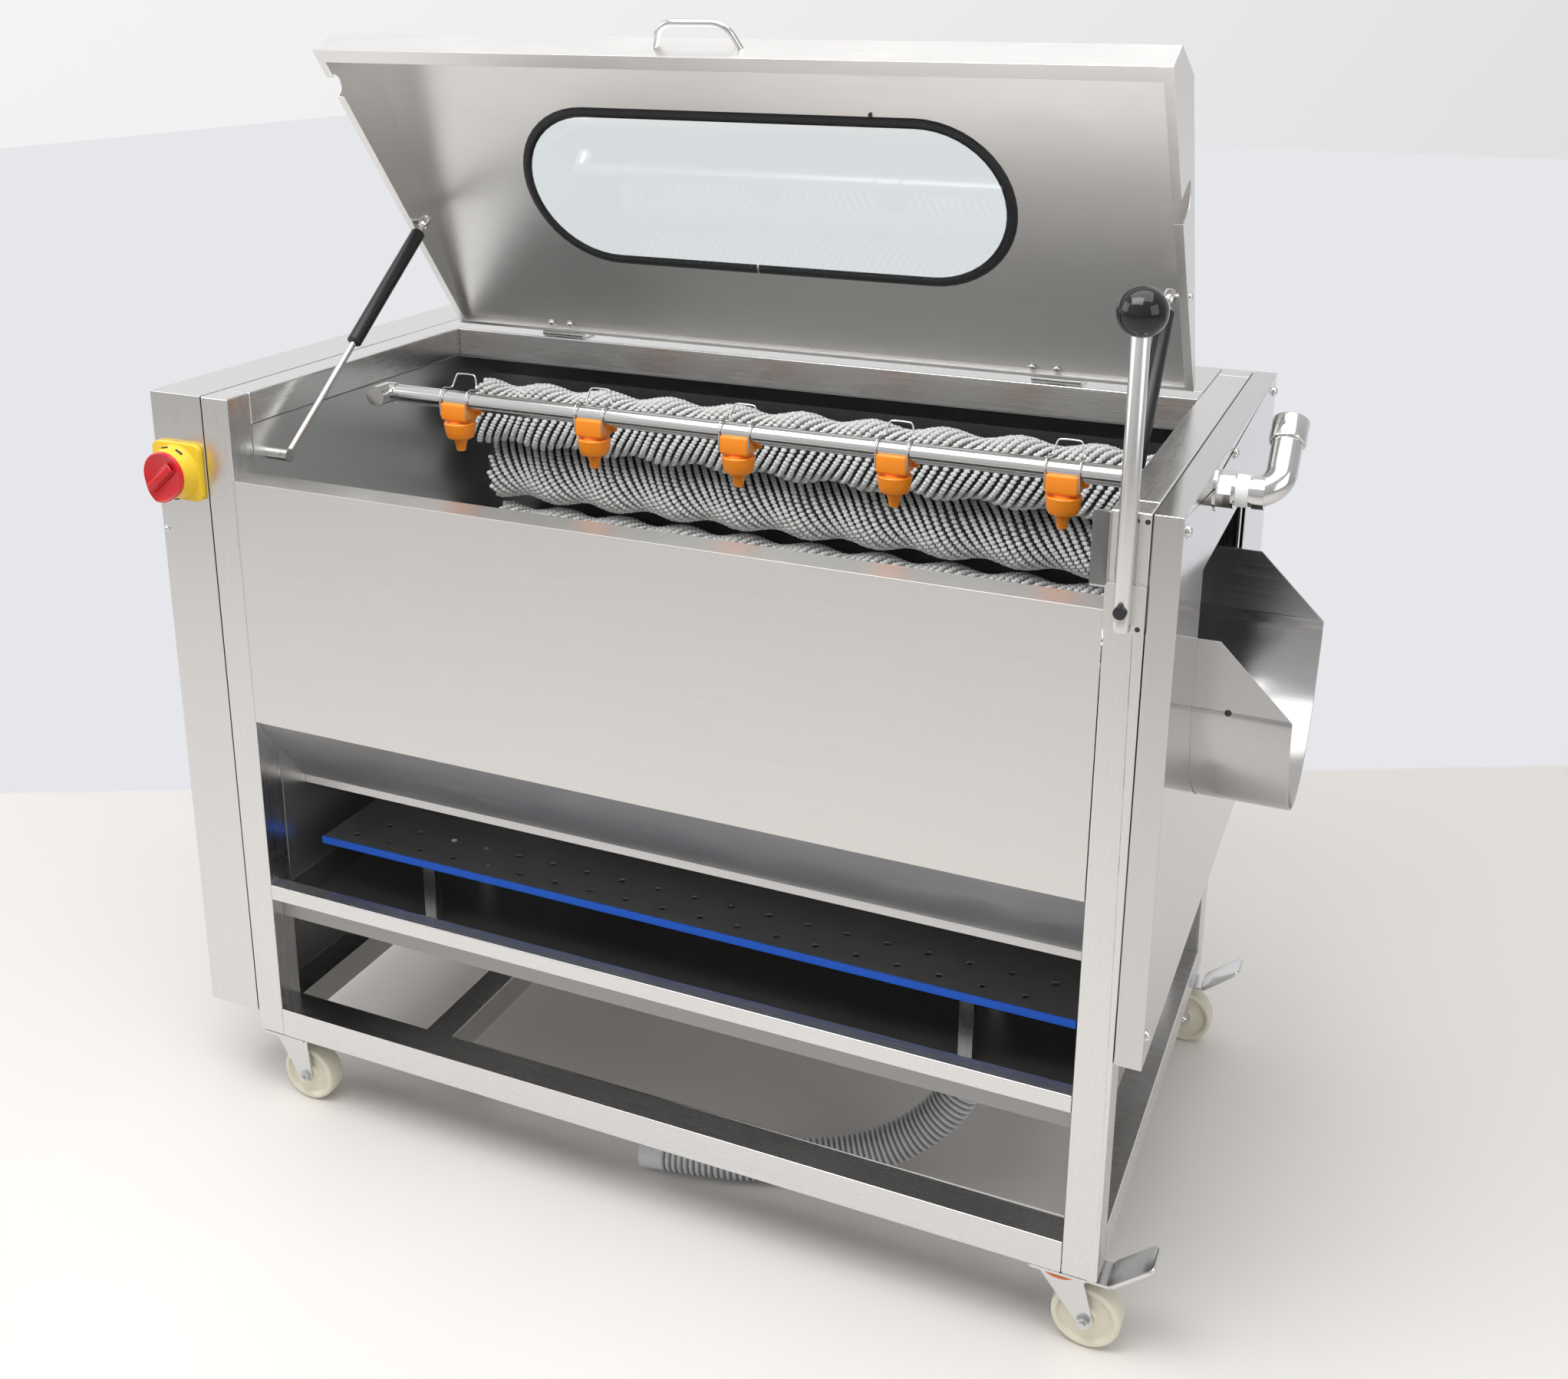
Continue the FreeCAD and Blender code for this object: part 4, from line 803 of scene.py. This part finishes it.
loop = [Vector(((x + WINDOW["shift"]) / 1000, (y - WINDOW["middle"]) / 1000, 0))
        for x, y in stadium(WINDOW["length"] / 2, WINDOW["width"] / 2, SEAL_JOINT, SEAL_GAP)]
seal = wire("window_gasket", loop, SEAL_RADIUS, round_corners=False)
seal.data.transform(Matrix.Translation((0, 0, 0.0042)) @ Matrix.Diagonal((1, 1, 0.62, 1)))
seal.data.transform(lid_frame)
finished(seal, "rubber", "lid", "seal_rubber", "window_seal")
nib = block("gasket_nib", (0.1435, -0.3420, 0.0006), (0.1470, -0.3370, 0.0032),
            ease=0.0006, segments=2)
nib.data.transform(lid_frame)
finished(nib, "rubber", "lid", "seal_rubber")

# %% [markdown]
# A gas spring is a black tube with a thin polished rod that slides into its bore. The tube's
# closed end screws into a bright conical fitting with a ball socket. Both springs are turned
# along their own axes.

# %% Gas springs
SPRING_TUBE = 0.198
SOCKET_ROOM = 0.012
EYE_ROOM = 0.008
SPRING_REACH = {"left": 0.38006, "right": 0.40199}
SOCKET_SHAPE = ((0.0062, -0.001), (0.0062, 0.0020), (0.0052, 0.0022), (0.0038, 0.011),
                (0.0054, 0.0115), (0.0066, 0.0145), (0.0076, 0.020), (0.0066, 0.0255),
                (0.004, 0.0275))
tube_length = SPRING_TUBE - SOCKET_ROOM
tube_shape = [(0.0046, tube_length - 0.003), (0.0046, 0.0), (0.0078, 0.0), (0.009, 0.0012),
              (0.009, tube_length - 0.0016), (0.0078, tube_length)]
socket_shape = [(radius, tube_length + distance) for radius, distance in SOCKET_SHAPE]
for side, reach in SPRING_REACH.items():
    along = Vector(joints[f"spring_stroke_{side}"]["axis"]).normalized()
    foot = Vector(joints[f"spring_pivot_{side}"]["pos_m"])
    top = foot + along * reach
    low = top - along * (SPRING_TUBE + EYE_ROOM)
    body = f"spring_cylinder_{side}"
    tube = turned(f"spring_tube_{side}", tube_shape, place=low, towards=along, sides=36)
    finished(tube, "black_paint", body, "black_paint", body)
    fitting = turned(f"spring_fitting_{side}", socket_shape, place=low, towards=along, sides=28)
    finished(fitting, "bright", body, "bright_steel")

# %% [markdown]
# The main switch has a yellow rounded plate with a deep collar, in which the red knob turns. The
# knob's front is a disc drawn out to one nose, with a wedge across it that points the same way.
# The plate is a cube whose upright edges are bevelled wide before the rest are eased.

# %% Rotary switch
def rounded_plate(name, length, width, thick, corner, ease):
    """A flat plate about the origin with wide round corners and eased edges."""
    bpy.ops.object.select_all(action="DESELECT")
    bpy.ops.mesh.primitive_cube_add(size=1)
    part = bpy.context.object
    part.name = name
    bpy.ops.object.mode_set(mode="EDIT")
    bpy.ops.transform.resize(value=(length, width, thick))
    bpy.ops.mesh.select_mode(type="EDGE")
    bpy.ops.mesh.select_all(action="DESELECT")
    mesh = bmesh.from_edit_mesh(part.data)
    for edge in mesh.edges:
        a, b = edge.verts
        edge.select = abs(a.co.z - b.co.z) > thick / 2
    bmesh.update_edit_mesh(part.data)
    bpy.ops.mesh.bevel(offset=corner, segments=6, affect="EDGES")
    mesh = bmesh.from_edit_mesh(part.data)
    for edge in mesh.edges:
        a, b = edge.verts
        edge.select = abs(a.co.z - b.co.z) < thick / 2
    bmesh.update_edit_mesh(part.data)
    bpy.ops.mesh.bevel(offset=ease, segments=2, affect="EDGES")
    bpy.ops.object.mode_set(mode="OBJECT")
    bpy.ops.object.shade_smooth_by_angle(angle=math.radians(40))
    return part


SWITCH = at(-75.3, 0, 838)
FACING_FRONT = Matrix.Rotation(math.radians(90), 4, "X")
plate = rounded_plate("switch_plate", 0.068, 0.068, 0.008, 0.009, 0.0012)
plate.data.transform(Matrix.Translation(SWITCH + Vector((0, -0.004, 0))) @ FACING_FRONT)
collar = turned("switch_collar", [(r / 1000, d / 1000) for r, d in (
    (32.6, 7.6), (32.0, 9.0), (29.4, 20.0), (28.2, 25.6), (27.0, 26.6), (25.6, 26.0), (25.4, 15.0))],
    place=SWITCH, towards=(0, -1, 0), sides=48)
switch_body = joined("switch_plate_and_collar", [plate, collar])
finished(switch_body, "yellow", "frame", "yellow_plastic", "switch_base")
SLOT_REACH = 0.0299
# The slots in the yellow plate are dark blocks: painted shade inside the slots.
slot_shade_blocks = []
for turn, wide in ((62, 0.0095), (102, 0.0085), (-82, 0.006)):
    mark = block("slot", (-wide / 2, -0.0012, -0.0016), (wide / 2, 0.0012, 0.0016),
                 ease=0.0005, segments=2)
    aim = Vector((math.cos(math.radians(turn)), 0, math.sin(math.radians(turn))))
    lay = Matrix.Rotation(math.radians(90 - turn), 4, "Y")
    mark.data.transform(Matrix.Translation(SWITCH + aim * SLOT_REACH + Vector((0, -0.0165, 0))) @ lay)
    slot_shade_blocks.append(mark)
finished(joined("switch_slots", slot_shade_blocks), "dark", "frame", "yellow_plastic")

NOSE_TURN = math.radians(246)
NOSE_SPREAD = math.radians(46)
NOSE_GROWTH = 0.24
WEDGE_TURN = math.radians(42)
bpy.ops.object.select_all(action="DESELECT")
bpy.ops.mesh.primitive_circle_add(vertices=72, radius=0.0282, fill_type="NGON")
disc = bpy.context.object
for vertex in disc.data.vertices:
    bearing = math.atan2(vertex.co.y, vertex.co.x)
    away = abs((bearing - NOSE_TURN + math.pi) % (2 * math.pi) - math.pi)
    if away < NOSE_SPREAD:
        vertex.co *= 1 + NOSE_GROWTH * (1 - away / NOSE_SPREAD)
bpy.ops.object.mode_set(mode="EDIT")
bpy.ops.mesh.select_all(action="SELECT")
bpy.ops.mesh.extrude_region_move(TRANSFORM_OT_translate={"value": (0, 0, 0.0032)})
bpy.ops.mesh.extrude_region_move(TRANSFORM_OT_translate={"value": (0, 0, 0.0012)})
bpy.ops.transform.resize(value=(0.95, 0.95, 1))
bpy.ops.mesh.inset(thickness=0.002)
bpy.ops.transform.translate(value=(0, 0, -0.0011))
bpy.ops.mesh.select_all(action="SELECT")
bpy.ops.mesh.normals_make_consistent(inside=False)
bpy.ops.object.mode_set(mode="OBJECT")
bpy.ops.object.shade_smooth_by_angle(angle=math.radians(35))
disc.data.transform(Matrix.Translation(SWITCH + Vector((0, -0.0270, 0))) @ FACING_FRONT)
barrel = turned("knob_barrel", [(0.0247, 0.0156), (0.0247, 0.0280)], place=SWITCH,
                towards=(0, -1, 0), sides=48)
wedge = block("knob_wedge", (-0.0225, -0.0072, 0), (0.0185, 0.0072, 0.0085), ease=0.0024, segments=3)
for vertex in wedge.data.vertices:
    if vertex.co.z > 0.004:
        vertex.co.y *= 0.62
        vertex.co.z -= max(0.0, vertex.co.x + 0.005) * 0.22
wedge.data.transform(Matrix.Translation(SWITCH + Vector((0, -0.0296, 0))) @ FACING_FRONT
                     @ Matrix.Rotation(WEDGE_TURN, 4, "Z"))
knob = joined("switch_knob_moulded", [barrel, disc, wedge])
finished(knob, "red", "switch_knob", "red_plastic", "switch_knob")
print("switch", len(knob.data.polygons), "faces")

# %% [markdown]
# Fasteners make a sheet machine look bolted together. One dome-head bolt is turned, and its copies
# are laid on the right cover, the lid and the outside of the lid's caps. Small dark screws are the
# same shape at half the size.

# %% Bolts and screws
TURN_TO = {"left": Matrix.Rotation(math.radians(-90), 4, "Y"),
           "right": Matrix.Rotation(math.radians(90), 4, "Y"),
           "front": FACING_FRONT}
BOLT_SHAPE = ((6.8, -0.4), (6.8, 0.6), (6.3, 1.0), (5.2, 1.0), (5.0, 2.4), (4.0, 3.8), (2.2, 4.7),
              (0.8, 4.9))


def dome_bolts(name, places, finish, body, scale=1.0):
    """Copies of one dome-head bolt, each laid by its own matrix."""
    stations = [(r * scale / 1000, h * scale / 1000) for r, h in BOLT_SHAPE]
    bolt = turned(name, stations, sides=24)
    return finished(repeated(name, bolt, places), finish, body, "bright_steel")


cover_bolts = [Matrix.Translation(at(1065.8, y, z)) @ TURN_TO["right"]
               for y, z in ((615, 911.5), (303, 912.5), (20, 911), (13, 395), (628, 395))]
dome_bolts("cover_bolts", cover_bolts, "bright", "frame")
UNDERSIDE = Matrix.Rotation(math.pi, 4, "X")
lid_nuts = [lid_frame @ Matrix.Translation(((x - 500) / 1000, -0.014, 0.0035)) @ UNDERSIDE
            for x in (148.9, 177.1, 805.2, 834.8)]
dome_bolts("lid_nuts", lid_nuts, "bright", "lid", 0.85)
cap_ends = [lid_frame @ Matrix.Translation((-0.495, -0.184, -0.030)) @ TURN_TO["left"],
            lid_frame @ Matrix.Translation((0.495, -0.150, -0.026)) @ TURN_TO["right"]]
dome_bolts("lid_cap_bolts", cap_ends, "bright", "lid", 0.8)
small = [Matrix.Translation(at(x, y, z)) @ TURN_TO["front"]
         for x, y, z in ((1024.5, 0, 921), (1034, 0, 921), (1018, -4, 818.2), (1032, -4, 820))]
dome_bolts("post_screws", small, "dark", "frame", 0.36)
screw = [Matrix.Translation(at(-106, 0, 762)) @ TURN_TO["front"]]
dome_bolts("cover_screw", screw, "bright", "frame", 0.62)
# A dark dome on the chute's side stands for a hole: painted shade of the hole's inside.
hole = [Matrix.Translation(at(1100.9, 141, 690.7)) @ TURN_TO["front"]]
dome_bolts("chute_hole_shade", hole, "dark", "frame", 0.5)

# %% [markdown]
# The water inlet is made up of bought fittings: a washer against the cover, a hexagon nipple, a
# lock ring, white thread tape that shows at the joint, and the thicker end of the elbow.

# %% Inlet rings, tape and elbow end
INLET = at(1065.8, 190, 905)
rings = [turned("inlet_ring", [(r / 1000, x0 / 1000), (r / 1000, x1 / 1000)], place=INLET,
                towards=(1, 0, 0), sides=40)
         for r, x0, x1 in ((23.0, 0.0, 1.6), (18.6, 15.0, 17.4), (16.6, 34.5, 46.0))]
end_along = Vector((0, 1, 1)).normalized()
elbow_mouth = at(1065.8 + 58, 190, 905) + end_along * 0.085
end_ring = turned("elbow_end", [(r / 1000, d / 1000) for r, d in (
    (15.2, -27), (17.6, -26), (18.0, -24.5), (18.0, -1.2), (17.2, 0.2), (12.0, 0.2), (11.4, -9))],
    place=elbow_mouth, towards=end_along, sides=40)
finished(joined("inlet_rings", rings + [end_ring]), "bright", "frame", "bright_steel")
tape = turned("thread_tape", [(r / 1000, d / 1000) for r, d in (
    (15.3, 18.4), (16.2, 19.2), (16.0, 21.8), (16.4, 24.6), (16.1, 27.4), (15.4, 31.2))],
    place=INLET, towards=(1, 0, 0), sides=40)
finished(tape, "tape", "frame", None)

# %% [markdown]
# The gate's lever swings beside a folded guide, painted dark as painted shade because it lies in
# shade. A pressed guide plate stands in front of the bracket's wing.

# %% Lever guide
guide = rounded_plate("lever_guide", 0.0155, 0.070, 0.0006, 0.002, 0.0001)
guide.data.transform(Matrix.Translation(at(993.4, -4.35, 893)) @ FACING_FRONT)
# dark_steel here is painted shade on a bracket-steel plate.
finished(guide, "dark_steel", "frame", "bracket_steel")

# %% [markdown]
# The casters are pressed zinc forks with an orange dust seal at the swivel, hexagon nuts on the
# axles and a broad brake pedal with round corners. The wheels get a hub and a raised rim, turned
# in one piece, because a moulded wheel is thinner between them.

# %% Caster seals, nuts, pedals and wheels
CASTER_PLACES = {"front_left": "frame", "rear_left": "frame",
                 "front_right": "swivel_front_right", "rear_right": "swivel_rear_right"}
WHEEL_SHAPE = ((5.4, -13.0), (11.5, -13.0), (12.2, -11.6), (13.0, -9.6), (27.5, -8.6), (30.0, -10.4),
               (31.0, -12.4), (33.6, -12.9), (36.2, -11.2), (37.3, -7.6), (37.5, 0.0), (37.3, 7.6),
               (36.2, 11.2), (33.6, 12.9), (31.0, 12.4), (30.0, 10.4), (27.5, 8.6), (13.0, 9.6),
               (12.2, 11.6), (11.5, 13.0), (5.4, 13.0))
WASHER_SHAPE = [(0.0085, 0.0176), (0.0085, 0.0190)]
NUT_SHAPE = [(0.0068, 0.0188), (0.0076, 0.0194), (0.0076, 0.0226), (0.0066, 0.0234)]
AXLE_END_SHAPE = [(0.0042, 0.0232), (0.0042, 0.0252), (0.0034, 0.0258)]
PEDAL_DROP = math.radians(-40)
for place, body in CASTER_PLACES.items():
    hub = Vector(joints[f"wheel_spin_{place}"]["pos_m"])
    nuts = []
    for sign in (-1, 1):
        out = (0, sign, 0)
        nuts.append(turned("axle_nut", WASHER_SHAPE, place=hub, towards=out, sides=24))
        nuts.append(turned("axle_nut", NUT_SHAPE, place=hub, towards=out, sides=6, smooth=20))
        nuts.append(turned("axle_end", AXLE_END_SHAPE, place=hub, towards=out, sides=20))
    finished(joined(f"axle_nuts_{place}", nuts), "bright", body, "zinc_steel")
    wheel = turned(f"wheel_moulded_{place}", [(r / 1000, d / 1000) for r, d in WHEEL_SHAPE],
                   place=hub, towards=(0, 1, 0), sides=56)
    finished(wheel, "nylon", f"wheel_{place}", "nylon_wheel", f"wheel_{place}")
    if place.endswith("right"):
        pivot = Vector(joints[f"swivel_{place}"]["pos_m"])
        seal_ring = turned(f"dust_seal_{place}", [(r / 1000, z / 1000) for r, z in (
            (20.0, 87.9), (25.0, 88.1), (26.4, 89.4), (26.4, 92.0), (24.6, 93.8), (20.0, 94.0))],
            place=(pivot.x, pivot.y, 0), sides=40)
        finished(seal_ring, "seal_orange", body, "orange_plastic")
        pedal = rounded_plate(f"brake_pedal_{place}", 0.062, 0.042, 0.0046, 0.010, 0.0014)
        hinge = Matrix.Translation((pivot.x + 0.051, pivot.y, 0.0877))
        slope = Matrix.Rotation(PEDAL_DROP, 4, "Y")
        pedal.data.transform(hinge @ slope @ Matrix.Translation((0.0295, 0, 0.0015)))
        finished(pedal, "zinc", body, "zinc_steel")
print("casters dressed")

# %% [markdown]
# A plain pale floor and soft light. Polished steel only shows what stands around it, so the world
# is bright on every side, more so above and to the left. Behind the machine the floor gives way
# to a pale wall. That wall is only a colour of the floor beyond a line, shown to the camera, to
# reflections and through the window, so nothing stands in the way of the other views.

# %% Floor, light and world
WALL_LINE = (Vector((-1.517, 0.189)), Vector((0.954, 1.409)))
WALL_TONE = (0.79, 0.80, 0.83, 1)
WALL_EDGE_SHARPNESS = 120
RAY_KINDS = ("Is Camera Ray", "Is Glossy Ray", "Is Transmission Ray")


def seen_directly(tree):
    """1 for what the camera sees, also by reflection and through glass."""
    path = tree.nodes.new("ShaderNodeLightPath")
    rays = [Wire(tree, path.outputs[kind]) for kind in RAY_KINDS]
    return (rays[0] + rays[1] + rays[2]).clamp()


bpy.ops.object.select_all(action="DESELECT")
bpy.ops.mesh.primitive_plane_add(size=24, location=(0, 3, -0.0004))
floor = bpy.context.object
floor.name = "floor"
bpy.ops.object.transform_apply(location=True)
ground = Nodes("pale_floor")
cloud = ground.noise(ground.place(), 1.5)
ground.feed(base_color=ground.mix(cloud, (0.76, 0.73, 0.70, 1), (0.83, 0.805, 0.78, 1)), roughness=0.5)
run = (WALL_LINE[1] - WALL_LINE[0]).normalized()
where = ground.add("SeparateXYZ", inputs={"Vector": ground.add("TexCoord", output="Object")})
across = Wire(ground.tree, where.socket.node.outputs["Y"]) * run.x - where * run.y
line_offset = WALL_LINE[0].y * run.x - WALL_LINE[0].x * run.y
beyond = ((across - line_offset) * WALL_EDGE_SHARPNESS).clamp()
wall = ground.add("Emission", inputs={"Color": WALL_TONE, "Strength": 1.0})
output = ground.tree.nodes["Material Output"]
blend = ground.tree.nodes.new("ShaderNodeMixShader")
ground.tree.links.new((beyond * seen_directly(ground.tree)).socket, blend.inputs[0])
ground.tree.links.new(ground.shader.outputs[0], blend.inputs[1])
ground.tree.links.new(wall.socket, blend.inputs[2])
ground.tree.links.new(blend.outputs[0], output.inputs["Surface"])
floor.data.materials.append(ground.material)


def area_lamp(name, place, target, size, watts, colour=(1, 1, 1)):
    """A rectangular lamp that looks at a target."""
    data = bpy.data.lights.new(name, "AREA")
    data.shape = "RECTANGLE"
    data.size, data.size_y = size
    data.energy = watts
    data.color = colour
    lamp = link(bpy.data.objects.new(name, data))
    lamp.location = place
    lamp.rotation_euler = (Vector(target) - Vector(place)).to_track_quat("-Z", "Y").to_euler()


area_lamp("overhead", (0.2, -0.5, 3.4), (0, 0.1, 0.6), (3.6, 2.6), 66)
area_lamp("left_window", (-3.4, -1.4, 2.2), (0, 0, 0.7), (2.4, 2.2), 34, (0.97, 0.98, 1.0))
area_lamp("over_the_drum", (-0.1, -1.2, 2.5), (0, 0.15, 0.75), (1.6, 1.0), 21)
area_lamp("right_fill", (3.4, -1.6, 1.9), (0, 0, 0.7), (2.2, 2.2), 24, (1.0, 0.99, 0.98))

world = bpy.data.worlds.new("studio")
world.use_nodes = True
bpy.context.scene.world = world
tree = world.node_tree
background = tree.nodes["Background"]
texture = tree.nodes.new("ShaderNodeTexCoord")
split = tree.nodes.new("ShaderNodeSeparateXYZ")
tree.links.new(texture.outputs["Generated"], split.inputs[0])
side, facing, height = (Wire(tree, split.outputs[name]) for name in ("X", "Y", "Z"))
tone = (0.68 + facing * 0.09 + height * 0.14 - side * 0.22).clamp()
tree.links.new((tone * (0.62 + seen_directly(tree) * 0.38)).socket, background.inputs["Color"])
